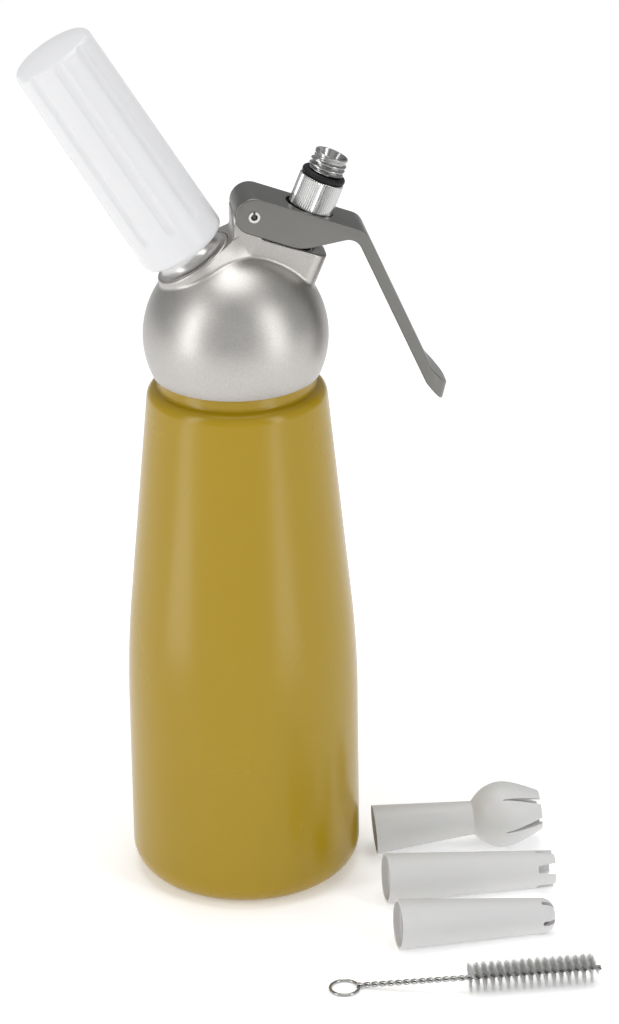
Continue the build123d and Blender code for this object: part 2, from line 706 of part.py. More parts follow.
# ---- charger and its holder ----
def build_charger_holder():
    """Moulded cup with nine finger flutes, screwed over the inlet with the charger inside it."""
    outline = Polyline([(0, 0, holder_bottom), (holder_bottom_radius, 0, holder_bottom),
                        (holder_top_radius, 0, holder_corner)])
    bow = (0.5 * holder_top_radius, 0, holder_top - 0.25 * (holder_top - holder_corner))
    outline += ThreePointArc((holder_top_radius, 0, holder_corner), bow, (0, 0, holder_top))
    outline += Line((0, 0, holder_top), (0, 0, holder_bottom))
    cup = revolve(make_face(outline), Axis.Z)
    rims = cup.edges().filter_by(lambda edge: edge.is_closed).sort_by(Axis.Z)
    cup = fillet(rims[0], holder_edge_radius)
    rims = cup.edges().filter_by(lambda edge: edge.is_closed).sort_by(Axis.Z)
    cup = fillet(rims[-1], holder_crown_radius)
    draft = degrees(atan(holder_taper / (holder_corner - holder_bottom)))
    side_radius = holder_bottom_radius - (flute_bottom - holder_bottom) * tan(radians(draft))
    cutter = rod(flute_cutter_radius, flute_cutter_radius, holder_top)
    cutter += Pos(0, 0, flute_cutter_radius) * Sphere(flute_cutter_radius)
    cutter_offset = side_radius + flute_cutter_radius - flute_depth
    cutter = Pos(cutter_offset, 0, flute_bottom) * Rot(0, -draft, 0) * cutter
    for i in range(flute_count):
        cup -= Rot(0, 0, flute_first_angle + i * 360 / flute_count) * cutter
    thread_end = inlet_top + holder_thread_gap
    well_radius = charger_radius + charger_clearance
    well_end = charger_end + charger_clearance
    well = FilletPolyline((0, 0, thread_end - 1), (well_radius, 0, thread_end - 1),
                          (well_radius, 0, well_end), (0, 0, well_end),
                          radius=(0, charger_radius - charger_clearance))
    well += Line((0, 0, well_end), (0, 0, thread_end - 1))
    cup -= revolve(make_face(well), Axis.Z)
    return holder_frame * (cup - rod(inlet_thread_radius + thread_clearance, holder_bottom - 1, thread_end))


def build_gas_charger():
    """Steel gas bulb with its mouth pierced, standing neck down in the inlet."""
    shoulder = charger_foot + charger_neck_length
    body_start = shoulder + charger_shoulder
    bore = charger_neck_radius - charger_wall
    body_bore = charger_radius - charger_wall
    seal_top = charger_foot + charger_seal
    outer = FilletPolyline(
        (charger_mouth_radius, 0, charger_foot), (charger_neck_radius, 0, charger_foot),
        (charger_neck_radius, 0, shoulder), (charger_radius, 0, body_start), (charger_radius, 0, charger_end),
        (0, 0, charger_end), radius=(0.5, 3.0, 5.0, charger_radius - 0.1))
    inner = FilletPolyline(
        (0, 0, charger_end - charger_wall), (body_bore, 0, charger_end - charger_wall),
        (body_bore, 0, body_start), (bore, 0, shoulder), (bore, 0, seal_top),
        (charger_mouth_radius, 0, seal_top), (charger_mouth_radius, 0, charger_foot),
        radius=(body_bore - 0.1, 4.0, 4.0, 0, 0))
    axis_line = Line((0, 0, charger_end), (0, 0, charger_end - charger_wall))
    return holder_frame * revolve(make_face(outer + inner + axis_line), Axis.Z)


# ---- decorator tips ----
def tip_socket():
    """Bore at a tip's mouth that screws onto the adapter, under a seat for the O-ring."""
    return rod(tip_seat_radius, -1, adapter_ring_section) + rod(tip_bore_radius, 0, tip_socket_depth)


def radial_slots(count, turn, foot, width, depth, length):
    """Cutters for slots that run in from a tip's end and narrow to a foot, the first turned from Y."""
    outline = Polyline([(-foot / 2, 0, length - depth), (foot / 2, 0, length - depth),
                        (width / 2, 0, length + 1), (-width / 2, 0, length + 1)], close=True)
    cutter = extrude(make_face(outline), amount=2 * tip_mouth_radius, dir=(0, 1, 0))
    return [Rot(0, 0, turn + i * 360 / count) * cutter for i in range(count)]


def build_tulip_tip():
    """Tip with a slender socket and a bulb split into petals."""
    outline = Line((tip_mouth_radius, 0, 0), (tulip_neck_radius, 0, tulip_neck_station))
    outline += Spline([(tulip_neck_radius, 0, tulip_neck_station),
                       (tulip_throat_radius, 0, tulip_throat_station),
                       (tulip_bulb_radius, 0, tulip_bulb_station),
                       (tulip_brow_radius, 0, tulip_brow_station), (tulip_end_radius, 0, tulip_length)])
    throat_wall = tip_wall / cos(radians(tulip_throat_slant))
    hollow = Line((tip_bore_radius, 0, tip_socket_depth - 1),
                  (tulip_neck_radius - tip_wall, 0, tulip_neck_station))
    hollow += Spline([(tulip_neck_radius - tip_wall, 0, tulip_neck_station),
                      (tulip_throat_radius - throat_wall, 0, tulip_throat_station),
                      (tulip_bulb_radius - tip_wall, 0, tulip_bulb_station),
                      (tulip_brow_radius - tip_wall, 0, tulip_brow_station),
                      (tulip_end_radius - tip_wall, 0, tulip_length)])
    tip = revolve(make_face(outline + Polyline([(tulip_end_radius, 0, tulip_length), (0, 0, tulip_length),
                                                (0, 0, 0), (tip_mouth_radius, 0, 0)])), Axis.Z)
    tip -= revolve(make_face(hollow + Polyline([(tulip_end_radius - tip_wall, 0, tulip_length),
                                                (0, 0, tulip_length), (0, 0, tip_socket_depth - 1),
                                                (tip_bore_radius, 0, tip_socket_depth - 1)])), Axis.Z)
    tip -= tip_socket()
    for cutter in radial_slots(tulip_slits, tulip_slit_turn, tulip_slit_foot, tulip_slit_width,
                               tulip_length - tulip_bulb_station, tulip_length):
        tip -= cutter
    rise = degrees(asin((tulip_bulb_radius - tip_mouth_radius) / tulip_bulb_station))
    return lay_down(tip, tulip_gap, tulip_y, tulip_heading, rise)


def build_cone_tip(length, end_radius, end_round, slots):
    """Straight tapered tip, open at its end or closed by a rounded one, with slots cut in from the end."""
    outer = FilletPolyline((0, 0, 0), (tip_mouth_radius, 0, 0), (end_radius, 0, length), (0, 0, length),
                           radius=(0, end_round))
    tip = revolve(make_face(outer + Line((0, 0, length), (0, 0, 0))), Axis.Z)
    closed = end_round > tip_wall
    floor = length - tip_wall if closed else length + 1
    inner_radius = end_radius - tip_wall
    inner = FilletPolyline((0, 0, tip_socket_depth - 1), (tip_bore_radius, 0, tip_socket_depth - 1),
                           (inner_radius, 0, floor), (0, 0, floor),
                           radius=(0, end_round - tip_wall if closed else 0))
    tip -= revolve(make_face(inner + Line((0, 0, floor), (0, 0, tip_socket_depth - 1))), Axis.Z)
    tip -= tip_socket()
    for cutter in slots:
        tip -= cutter
    return tip


def build_crown_tip():
    """Tip whose end is notched into a crown of teeth."""
    notches = radial_slots(crown_notches, crown_notch_turn, crown_notch_foot, crown_notch_width,
                           crown_notch_depth, crown_length)
    tip = build_cone_tip(crown_length, crown_end_radius, crown_edge_radius, notches)
    drop = degrees(asin((tip_mouth_radius - crown_end_radius) / crown_length))
    return lay_down(tip, crown_gap, crown_y, crown_heading, -drop)


def build_dome_tip():
    """Tip with a rounded end cut by radial slots."""
    slots = radial_slots(dome_slots, dome_slot_turn, dome_slot_width, dome_slot_width, dome_slot_depth,
                         dome_tip_length)
    tip = build_cone_tip(dome_tip_length, dome_tip_end_radius, dome_tip_round, slots)
    drop = degrees(asin((tip_mouth_radius - dome_tip_end_radius) / dome_tip_length))
    return lay_down(tip, dome_tip_gap, dome_tip_y, dome_tip_heading, -drop)


# ---- brush ----
def build_brush_wire():
    """Wire of the cleaning brush: finger ring, rising stem, core of the bristles and a short end."""
    finger_ring = Pos(*brush_ring_centre, brush_ring_wire) * Torus(brush_ring_radius, brush_ring_wire)
    stem_start = Vector(brush_ring_centre[0] + brush_ring_radius, brush_ring_centre[1], brush_stem_wire)
    stem_top = Vector(bristle_start[0] - brush_stem_lead, bristle_start[1], bristle_radius)
    stem_end = stem_top + Vector(brush_stem_lead + bristle_length + brush_end_length, 0, 0)
    path = FilletPolyline(stem_start, stem_top, stem_end, radius=brush_stem_bend)
    stem = sweep(Plane(origin=path @ 0, z_dir=path % 0) * Circle(brush_stem_wire), path)
    return finger_ring + stem


def build_brush_bristles():
    """Outer shape of the bristles, a round bar with the wire through it."""
    bar = fillet(rod(bristle_radius, 0, bristle_length).edges().filter_by(GeomType.CIRCLE), bristle_round)
    bar -= rod(brush_stem_wire + press_gap, -1, bristle_length + 1)
    return Pos(*bristle_start, bristle_radius) * Rot(0, 90, 0) * bar


nodes = {
    "bottle": build_bottle,
    "head_gasket": build_head_gasket,
    "head": build_head,
    "lever": build_lever,
    "lever_pin": build_lever_pin,
    "piston": build_piston,
    "piston_o_rings": build_piston_o_rings,
    "piston_spring": build_piston_spring,
    "piston_bush": build_piston_bush,
    "valve_seal": build_valve_seal,
    "valve_cap": build_valve_cap,
    "nozzle_adapter": build_nozzle_adapter,
    "adapter_o_ring": build_adapter_o_ring,
    "adapter_gasket": build_adapter_gasket,
    "charger_inlet": build_charger_inlet,
    "piercing_pin": build_piercing_pin,
    "inlet_gasket": build_inlet_gasket,
    "check_valve_sleeve": build_check_valve_sleeve,
    "charger_holder": build_charger_holder,
    "gas_charger": build_gas_charger,
    "tulip_tip": build_tulip_tip,
    "crown_tip": build_crown_tip,
    "dome_tip": build_dome_tip,
    "brush_wire": build_brush_wire,
    "brush_bristles": build_brush_bristles,
}

if __name__ == "__main__":
    os.makedirs("parts", exist_ok=True)
    for name, build in nodes.items():
        export_step(build(), f"parts/{name}.step")
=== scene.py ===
"""Half-litre whipped cream dispenser: its looks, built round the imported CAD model.

Sizes in the classes are millimetres in the CAD model's frame. Meshes are written in metres.
"""

from __future__ import annotations

import logging
import math
from dataclasses import dataclass
from enum import Enum
from typing import Any, Sequence

import bmesh
import bpy
import numpy as np
from mathutils import Matrix, Vector

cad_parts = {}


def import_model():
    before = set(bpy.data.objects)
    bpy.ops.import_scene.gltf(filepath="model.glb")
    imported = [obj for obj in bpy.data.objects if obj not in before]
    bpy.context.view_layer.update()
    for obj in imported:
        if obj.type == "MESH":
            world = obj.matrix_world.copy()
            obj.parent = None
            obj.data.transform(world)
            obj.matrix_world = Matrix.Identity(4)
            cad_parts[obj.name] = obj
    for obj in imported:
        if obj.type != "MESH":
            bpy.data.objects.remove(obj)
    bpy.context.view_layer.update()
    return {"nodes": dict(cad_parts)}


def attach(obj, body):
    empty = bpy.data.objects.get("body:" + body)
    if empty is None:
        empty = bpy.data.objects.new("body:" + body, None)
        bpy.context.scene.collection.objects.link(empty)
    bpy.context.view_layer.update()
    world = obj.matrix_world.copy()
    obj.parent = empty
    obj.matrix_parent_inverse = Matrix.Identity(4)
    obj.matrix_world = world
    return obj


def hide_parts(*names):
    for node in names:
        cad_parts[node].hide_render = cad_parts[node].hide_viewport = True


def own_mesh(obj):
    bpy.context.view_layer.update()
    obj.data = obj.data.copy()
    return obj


LOG = logging.getLogger("dispenser")
MM = 0.001

# Metres: points of a mesh that are nearer than the first are one, and shorter edges than the second go.
MERGE_GAP, SHORTEST_EDGE = 2e-7, 1e-7
# Millimetres: a point this near a radius or a station of an outline counts as lying on it.
ON_OUTLINE = 0.01
# Millimetres: marks along an outline that are nearer than this are one.
SAME_MARK = 1e-6
# Lean in degrees, from Z towards X, of the valve with its nozzle and of the charger in its holder.
PISTON_TILT, HOLDER_TILT = 22.35, -31.0


# ---------------------------------------------------------------- finishes

# Noise seldom leaves this range, so it is what the change of roughness is spread over.
NOISE_LOW, NOISE_HIGH = 0.3, 0.7
# Octaves of the fine and the slow noise, and the share that each octave of the fine one passes on.
FINE_OCTAVES, SLOW_OCTAVES, FINE_GAIN = 2.0, 3.0, 0.6
# Millimetres that light travels below the surface of a plastic.
SCATTER_DEPTH = 2.0


def linear(code: str) -> tuple[float, float, float, float]:
    """Turn an sRGB hex colour into the linear colour a shader takes.

    A channel c becomes c / 12.92 up to 0.04045 and ((c + 0.055) / 1.055) ** 2.4 above it.

    Args:
        code: The colour as "#RRGGBB".

    Returns:
        Linear red, green, blue and an alpha of one.
    """
    channels = np.array([int(code[i:i + 2], 16) for i in (1, 3, 5)]) / 255.0
    low, high = channels / 12.92, ((channels + 0.055) / 1.055) ** 2.4
    red, green, blue = np.where(channels <= 0.04045, low, high).tolist()
    return red, green, blue, 1.0


def add_node(tree: bpy.types.NodeTree, kind: str, settings: dict[str, Any] | None = None,
             links: dict[str, bpy.types.NodeSocket] | None = None) -> bpy.types.Node:
    """Add a node with its settings and its links.

    Args:
        tree: The node tree.
        kind: The node's Blender type.
        settings: Values by attribute name or, where there is no such attribute, by input name.
        links: The sockets that feed the node's inputs, by input name.

    Returns:
        The new node.
    """
    node = tree.nodes.new(kind)
    for name, value in (settings or {}).items():
        if hasattr(node, name):
            setattr(node, name, value)
        else:
            node.inputs[name].default_value = value
    for name, socket in (links or {}).items():
        tree.links.new(socket, node.inputs[name])
    return node


class Texture(Enum):
    """How a pattern is laid over a surface: the stretch of its cells along X, Y and Z."""

    GRAIN = (1.0, 1.0, 1.0)
    TURNED = (12.0, 12.0, 1.0)
    ROLLED = (1.0, 14.0, 1.0)


@dataclass(frozen=True)
class Finish:
    """A material: what a surface is made of and how it was made.

    Args:
        name: Real material and process.
        colour: Colour as sRGB hex.
        roughness: Middle roughness.
        metallic: One for bare metal.
        ior: Index of refraction, left alone for a metal.
        subsurface: Share of light that spreads inside a plastic.
        texture: How the pattern is laid.
        pattern: Cell size of the relief in millimetres.
        relief: Depth of the relief in millimetres.
        mottle: Cell size in millimetres of the slow change in roughness and shade.
        roughness_range: Change of roughness over the mottle.
        shade_range: Change of shade over the mottle, as a share.
        speckle: Share of the fine pattern in the change of shade.
        tilt: Lean in degrees of a turned part's axis, which the pattern follows.
        glow: Light that the surface gives off.
    """

    name: str
    colour: str
    roughness: float
    metallic: float = 0.0
    ior: float = 1.5
    subsurface: float = 0.0
    texture: Texture = Texture.GRAIN
    pattern: float = 0.6
    relief: float = 0.01
    mottle: float = 14.0
    roughness_range: float = 0.06
    shade_range: float = 0.04
    speckle: float = 0.0
    tilt: float = 0.0
    glow: float = 0.0

    def material(self) -> bpy.types.Material:
        """Build the node material once and hand it out after that.

        A fine noise, laid as the texture says, is the relief. A slow noise moves the roughness. The
        shade runs from dark to light over slow + speckle (fine - slow).

        Returns:
            The material.
        """
        made = bpy.data.materials.get(self.name)
        if made:
            return made
        material = bpy.data.materials.new(self.name)
        material.use_nodes = True
        tree = material.node_tree
        tree.nodes.clear()
        place = add_node(tree, "ShaderNodeTexCoord").outputs["Object"]
        laid = add_node(tree, "ShaderNodeMapping",
                        {"vector_type": "TEXTURE", "Rotation": (0.0, math.radians(self.tilt), 0.0),
                         "Scale": self.texture.value}, {"Vector": place}).outputs["Vector"]
        fine = add_node(tree, "ShaderNodeTexNoise",
                        {"Scale": 1.0 / (self.pattern * MM), "Detail": FINE_OCTAVES, "Roughness": FINE_GAIN},
                        {"Vector": laid}).outputs["Fac"]
        slow = add_node(tree, "ShaderNodeTexNoise",
                        {"Scale": 1.0 / (self.mottle * MM), "Detail": SLOW_OCTAVES},
                        {"Vector": place}).outputs["Fac"]
        spread = add_node(tree, "ShaderNodeMapRange",
                          {"From Min": NOISE_LOW, "From Max": NOISE_HIGH,
                           "To Min": self.roughness - self.roughness_range / 2,
                           "To Max": self.roughness + self.roughness_range / 2}, {"Value": slow})
        base = np.array(linear(self.colour))
        dark = base * (1.0 - self.shade_range)
        light = np.minimum(base * (1.0 + self.shade_range), 1.0)
        shade = add_node(tree, "ShaderNodeMix", {"data_type": "RGBA"})
        for socket in shade.inputs:
            if socket.type == "RGBA":
                socket.default_value = (dark if socket.name == "A" else light).tolist()
        blend = add_node(tree, "ShaderNodeMix", {"Factor": self.speckle}, {"A": slow, "B": fine})
        tree.links.new(blend.outputs["Result"], shade.inputs["Factor"])
        colour = next(socket for socket in shade.outputs if socket.type == "RGBA")
        bump = add_node(tree, "ShaderNodeBump", {"Distance": self.relief * MM, "Strength": 1.0},
                        {"Height": fine})
        shader = add_node(tree, "ShaderNodeBsdfPrincipled",
                          {"Metallic": self.metallic, "IOR": self.ior, "Subsurface Weight": self.subsurface,
                           "Subsurface Scale": SCATTER_DEPTH * MM, "Emission Strength": self.glow},
                          {"Base Color": colour, "Roughness": spread.outputs["Result"],
                           "Normal": bump.outputs["Normal"]})
        add_node(tree, "ShaderNodeOutputMaterial", links={"Surface": shader.outputs["BSDF"]})
        return material


# Baked satin enamel over drawn aluminium: even colour, broad soft highlights, a trace of orange peel with
# waves of 1.6 mm.
MUSTARD_ENAMEL = Finish("Satin mustard enamel on drawn aluminium", "#A08310", 0.25, ior=1.42, pattern=1.6,
                        relief=0.002, mottle=30.0, shade_range=0.02)
# Bead-blasted casting: a silky grey that spreads highlights. The beads' pits are about 0.1 mm across and
# are drawn at 0.55 mm, so that they show.
BLASTED_ALUMINIUM = Finish("Bead-blasted cast aluminium", "#BBB8B4", 0.42, metallic=1.0, pattern=0.55,
                           relief=0.03, mottle=9.0, roughness_range=0.05, shade_range=0.22, speckle=0.85)
# Pressed sheet with a grey anodised surface: nearly matt, with the faint grain of rolling, 0.3 mm wide.
ANODISED_SHEET = Finish("Grey anodised pressed aluminium sheet", "#7D7C79", 0.4, metallic=1.0,
                        texture=Texture.ROLLED, pattern=0.3, relief=0.004, mottle=12.0, shade_range=0.03)
# Nickel-plated turned steel: bright, with fine lines that run round the piece. The lathe leaves one every
# 0.1 mm or so; they are drawn 0.3 mm apart, so that they show.
BRIGHT_NICKEL = Finish("Nickel-plated turned steel", "#C2C2C0", 0.16, metallic=1.0, texture=Texture.TURNED,
                       pattern=0.3, relief=0.002, mottle=6.0, roughness_range=0.05, shade_range=0.02,
                       tilt=PISTON_TILT)
# The same plating on the thread and in the spout, with a darker grey shine: painted shade, which stands in
# for the darker reflections there; the metal is no different.
SHADED_NICKEL = Finish("Nickel plating with painted shade", "#A3A3A1", 0.22, metallic=1.0, texture=Texture.TURNED,
                     pattern=0.3, relief=0.002, mottle=3.0, roughness_range=0.05, shade_range=0.03,
                     tilt=PISTON_TILT)
# The same plating over a tumbled part: silky, with highlights that run out softly.
SATIN_NICKEL = Finish("Satin nickel-plated turned steel", "#CFCDCA", 0.34, metallic=1.0,
                      texture=Texture.TURNED, pattern=0.4, relief=0.002, mottle=6.0, roughness_range=0.05,
                      shade_range=0.02, tilt=HOLDER_TILT)
# Injection-moulded polypropylene: soft white with a low sheen and light that spreads just below it. Its
# skin is very slightly uneven over a millimetre or so.
WHITE_POLYPROPYLENE = Finish("Moulded white polypropylene", "#E0E0E1", 0.36, ior=1.49, subsurface=0.02,
                             pattern=1.2, relief=0.004, mottle=20.0, shade_range=0.01)
# The same plastic from a matter mould, for the decorator tips: hardly any sheen.
MATT_POLYPROPYLENE = Finish("Matt moulded polypropylene", "#D0D0CF", 0.48, ior=1.49, subsurface=0.08,
                            pattern=0.8, relief=0.005, mottle=12.0, shade_range=0.015)
# Nitrile rubber from a polished mould: black with a dull sheen.
BLACK_NITRILE = Finish("Moulded black nitrile rubber", "#0A0A0A", 0.55, ior=1.4, pattern=0.4,
                       relief=0.004, mottle=4.0)
# Grey silicone, soft and matt, in the seals inside.
GREY_SILICONE = Finish("Moulded grey silicone rubber", "#9A9C9D", 0.6, ior=1.41, subsurface=0.1,
                       pattern=0.5, relief=0.004, mottle=5.0)
# Cold-drawn stainless wire: bright, with the fine grain that the die leaves.
DRAWN_STEEL = Finish("Cold-drawn stainless steel", "#A9A9A7", 0.2, metallic=1.0, pattern=0.3,
                     relief=0.003, mottle=4.0)
# Rolled and tempered strip: paler and duller than drawn wire.
SPRING_STEEL = Finish("Tempered spring steel", "#D8D7D3", 0.34, metallic=1.0, pattern=0.3, relief=0.004,
                      mottle=4.0)
# Turned brass in the valve: warm and bright.
TURNED_BRASS = Finish("Turned brass", "#C9A95C", 0.22, metallic=1.0, pattern=0.4, relief=0.003, mottle=5.0)
# Zinc-plated deep-drawn steel of the gas bulb: a soft grey shine.
ZINC_STEEL = Finish("Zinc-plated deep-drawn steel", "#BFC1C2", 0.28, metallic=1.0, pattern=0.5,
                    relief=0.004, mottle=8.0)
# Fine nylon filament: white, a little glossy, with light coming through.
NYLON_FILAMENT = Finish("Extruded nylon filament", "#D6D6D4", 0.38, ior=1.53, subsurface=0.05,
                        pattern=0.3, relief=0.002, mottle=3.0)
# Opal acrylic table, lit a little from below, so that shadows on it stay faint.
STUDIO_TABLE = Finish("Matt opal acrylic table", "#FFFFFF", 0.9, pattern=3.0, relief=0.002,
                      mottle=300.0, shade_range=0.0, glow=0.26)


# ---------------------------------------------------------------- surfaces


@dataclass(frozen=True)
class Axis:
    """Where a turned piece stands: its datum and three unit directions.

    Args:
        datum: Point at station zero, in millimetres.
        across: Direction of angle zero.
        side: Direction of a quarter turn.
        along: Direction in which stations grow.
    """

    datum: np.ndarray
    across: np.ndarray
    side: np.ndarray
    along: np.ndarray

    @classmethod
    def tilted(cls, x: float, z: float, degrees: float) -> Axis:
        """An axis in the XZ plane, leaning from Z towards X.

        Args:
            x: Datum's X in millimetres.
            z: Datum's Z in millimetres.
            degrees: Lean from the vertical.

        Returns:
            The axis.
        """
        sine, cosine = math.sin(math.radians(degrees)), math.cos(math.radians(degrees))
        return cls(np.array([x, 0.0, z]), np.array([cosine, 0.0, -sine]), np.array([0.0, 1.0, 0.0]),
                   np.array([sine, 0.0, cosine]))

    @classmethod
    def laid(cls, x: float, y: float, heading: float, rise: float) -> Axis:
        """An axis lying near the floor.

        Args:
            x: Datum's X in millimetres.
            y: Datum's Y in millimetres.
            heading: Turn from X towards Y in degrees.
            rise: Climb from the floor in degrees.

        Returns:
            The axis.
        """
        turn, climb = math.radians(heading), math.radians(rise)
        ahead = np.array([math.cos(turn), math.sin(turn), 0.0])
        up = np.array([0.0, 0.0, 1.0])
        return cls(np.array([x, y, 0.0]), math.sin(climb) * ahead - math.cos(climb) * up,
                   np.array([-ahead[1], ahead[0], 0.0]), math.cos(climb) * ahead + math.sin(climb) * up)

    def points(self, radius: np.ndarray, angle: np.ndarray, station: np.ndarray) -> np.ndarray:
        """Place cylinder coordinates: datum + radius (cos angle across + sin angle side) + station along.

        Args:
            radius: Distances from the axis in millimetres.
            angle: Angles in radians.
            station: Distances along the axis in millimetres.

        Returns:
            Points in millimetres, one for each broadcast element.
        """
        radius, angle, station = np.broadcast_arrays(radius, angle, station)
        return (self.datum + (radius * np.cos(angle))[..., None] * self.across
                + (radius * np.sin(angle))[..., None] * self.side + station[..., None] * self.along)


UPRIGHT = Axis.tilted(0.0, 0.0, 0.0)
PISTON_AXIS = Axis.tilted(26.73, 250.0, PISTON_TILT)
HOLDER_AXIS = Axis.tilted(-18.2, 240.0, HOLDER_TILT)


def rounded(corners: Sequence[tuple[float, ...]], steps: int = 6) -> np.ndarray:
    """Outline through corners, some of them rounded.

    A corner with a third number, its fillet radius, becomes the arc that touches both its sides: the
    arc starts radius / tan(half the inside angle) before the corner and turns about a point on the
    bisector at radius / sin(half the inside angle).

    Args:
        corners: Radius, station and, where wanted, fillet radius of each corner, in millimetres.
        steps: Runs in each arc.

    Returns:
        Points of the outline as rows of radius and station.
    """
    rows: list[np.ndarray] = []
    for i, corner in enumerate(corners):
        here = np.array(corner[:2])
        if len(corner) < 3:
            rows.append(here[None])
            continue
        back, ahead = np.array(corners[i - 1][:2]) - here, np.array(corners[i + 1][:2]) - here
        back, ahead = back / np.linalg.norm(back), ahead / np.linalg.norm(ahead)
        half = math.acos(float(np.clip(back @ ahead, -1.0, 1.0))) / 2
        bisector = (back + ahead) / np.linalg.norm(back + ahead)
        centre = here + bisector * corner[2] / math.sin(half)
        start, end = here + back * corner[2] / math.tan(half), here + ahead * corner[2] / math.tan(half)
        sweep = math.pi - 2 * half
        share = np.linspace(0.0, 1.0, steps + 1)[:, None]
        arc = (np.sin((1 - share) * sweep) * (start - centre) + np.sin(share * sweep) * (end - centre))
        rows.append(centre + arc / math.sin(sweep))
    return np.concatenate(rows)


def spline(points: Sequence[tuple[float, float]], count: int = 48) -> list[tuple[float, float]]:
    """Smooth curve through points, the natural cubic spline over their chord lengths.

    With h the chord lengths and m the second derivatives, m is zero at both ends and in between
    h0 m0 + 2 (h0 + h1) m1 + h1 m2 = 6 (slope1 - slope0). On each chord, at a share t of it,
    p = (1 - t) p0 + t p1 + h^2 / 6 (((1 - t)^3 - (1 - t)) m0 + (t^3 - t) m1).

    Args:
        points: Points as radius and station.
        count: Points of the curve.

    Returns:
        The curve's points.
    """
    knots = np.array(points)
    chord = np.hypot(*np.diff(knots, axis=0).T)
    slope = np.diff(knots, axis=0) / chord[:, None]
    size = len(knots)
    matrix = np.eye(size)
    inner = np.arange(1, size - 1)
    matrix[inner, inner - 1], matrix[inner, inner] = chord[:-1], 2 * (chord[:-1] + chord[1:])
    matrix[inner, inner + 1] = chord[1:]
    bend = np.linalg.solve(matrix, np.concatenate([np.zeros((1, 2)), 6 * np.diff(slope, axis=0),
                                                   np.zeros((1, 2))]))
    place = np.linspace(0.0, chord.sum(), count)
    starts = np.concatenate([[0.0], np.cumsum(chord)])
    span = np.clip(np.searchsorted(starts, place, side="right") - 1, 0, size - 2)
    share, width = ((place - starts[span]) / chord[span])[:, None], chord[span][:, None]
    curve = ((1 - share) * knots[span] + share * knots[span + 1] + width ** 2 / 6
             * (((1 - share) ** 3 - (1 - share)) * bend[span] + (share ** 3 - share) * bend[span + 1]))
    return [tuple(row) for row in curve.tolist()]


def divided(outline: np.ndarray, longest: float) -> np.ndarray:
    """Add points to an outline so that no run is longer than a given length.

    Args:
        outline: Rows of radius and station.
        longest: Longest run in millimetres.

    Returns:
        The outline's own points with points at even arc lengths between them.
    """
    length = np.concatenate([[0.0], np.cumsum(np.hypot(*np.diff(outline, axis=0).T))])
    marks = np.union1d(length, np.arange(0.0, length[-1], longest))
    marks = marks[np.concatenate([[True], np.diff(marks) > SAME_MARK])]
    return np.column_stack([np.interp(marks, length, outline[:, i]) for i in (0, 1)])


def turn_angles(count: int) -> np.ndarray:
    """Angles once round, with the first repeated at the end, so that merging closes the seam."""
    return np.linspace(0.0, 2 * math.pi, count + 1)


# A thread's ridge in shares of its pitch: half the crest's width, the crest's middle to the flank's foot,
# and the length over which the ridge runs out at each end.
CREST, FLANK_FOOT, RUN_OUT = 0.12, 0.42, 0.5


def thread_relief(station: np.ndarray, angle: np.ndarray, pitch: float, depth: float, start: float,
                  end: float) -> np.ndarray:
    """Height of a right-hand screw thread over its core.

    The phase is station / pitch - angle / (2 pi). The ridge is a trapezium in that phase, of full
    height on the crest and falling straight to nothing at the flanks' feet.

    Args:
        station: Stations in millimetres.
        angle: Angles in radians.
        pitch: Pitch in millimetres.
        depth: Height of the crest in millimetres.
        start: First station of the thread.
        end: Last station of the thread.

    Returns:
        Heights in millimetres.
    """
    phase = station / pitch - angle / (2 * math.pi)
    away = np.abs(phase - np.round(phase))
    ridge = np.clip((FLANK_FOOT - away) / (FLANK_FOOT - CREST), 0.0, 1.0)
    fade = np.clip(np.minimum(station - start, end - station) / (RUN_OUT * pitch), 0.0, 1.0)
    return depth * ridge * fade


def surface(name: str, grids: Sequence[np.ndarray], finish: Finish,
            sharp: float = 32.0) -> bpy.types.Object:
    """Make one closed mesh of grids of points.

    Each grid's neighbouring rows and columns span quads. Points that fall together are merged, which
    closes seams and poles, and the faces of each closed shell are then turned outwards.

    Args:
        name: The piece's name.
        grids: Arrays of rows by columns by three, in millimetres.
        finish: The piece's material.
        sharp: Edges that turn by more than this many degrees stay sharp.

    Returns:
        The new object, at the origin.
    """
    quads, offset = [], 0
    for grid in grids:
        rows, columns = grid.shape[:2]
        index = offset + np.arange(rows * columns).reshape(rows, columns)
        quads.append(np.stack([index[:-1, :-1], index[:-1, 1:], index[1:, 1:], index[1:, :-1]],
                              axis=-1).reshape(-1, 4))
        offset += rows * columns
    points = np.concatenate([grid.reshape(-1, 3) for grid in grids]) * MM
    mesh = bpy.data.meshes.new(name)
    mesh.from_pydata(points.tolist(), [], np.concatenate(quads).tolist())
    return closed_object(name, mesh, finish, sharp)


def closed_object(name: str, mesh: bpy.types.Mesh, finish: Finish, sharp: float) -> bpy.types.Object:
    """Merge a mesh's doubles, turn its faces outwards, shade it and make it an object.

    Args:
        name: The piece's name.
        mesh: The mesh.
        finish: The piece's material.
        sharp: Edges that turn by more than this many degrees stay sharp.

    Returns:
        The new object, at the origin.
    """
    work = bmesh.new()
    work.from_mesh(mesh)
    bmesh.ops.remove_doubles(work, verts=work.verts, dist=MERGE_GAP)
    bmesh.ops.dissolve_degenerate(work, edges=work.edges, dist=SHORTEST_EDGE)
    bmesh.ops.recalc_face_normals(work, faces=work.faces)
    work.to_mesh(mesh)
    work.free()
    mesh.shade_smooth()
    mesh.set_sharp_from_angle(angle=math.radians(sharp))
    mesh.materials.clear()
    mesh.materials.append(finish.material())
    piece = bpy.data.objects.new(name, mesh)
    bpy.context.scene.collection.objects.link(piece)
    return piece


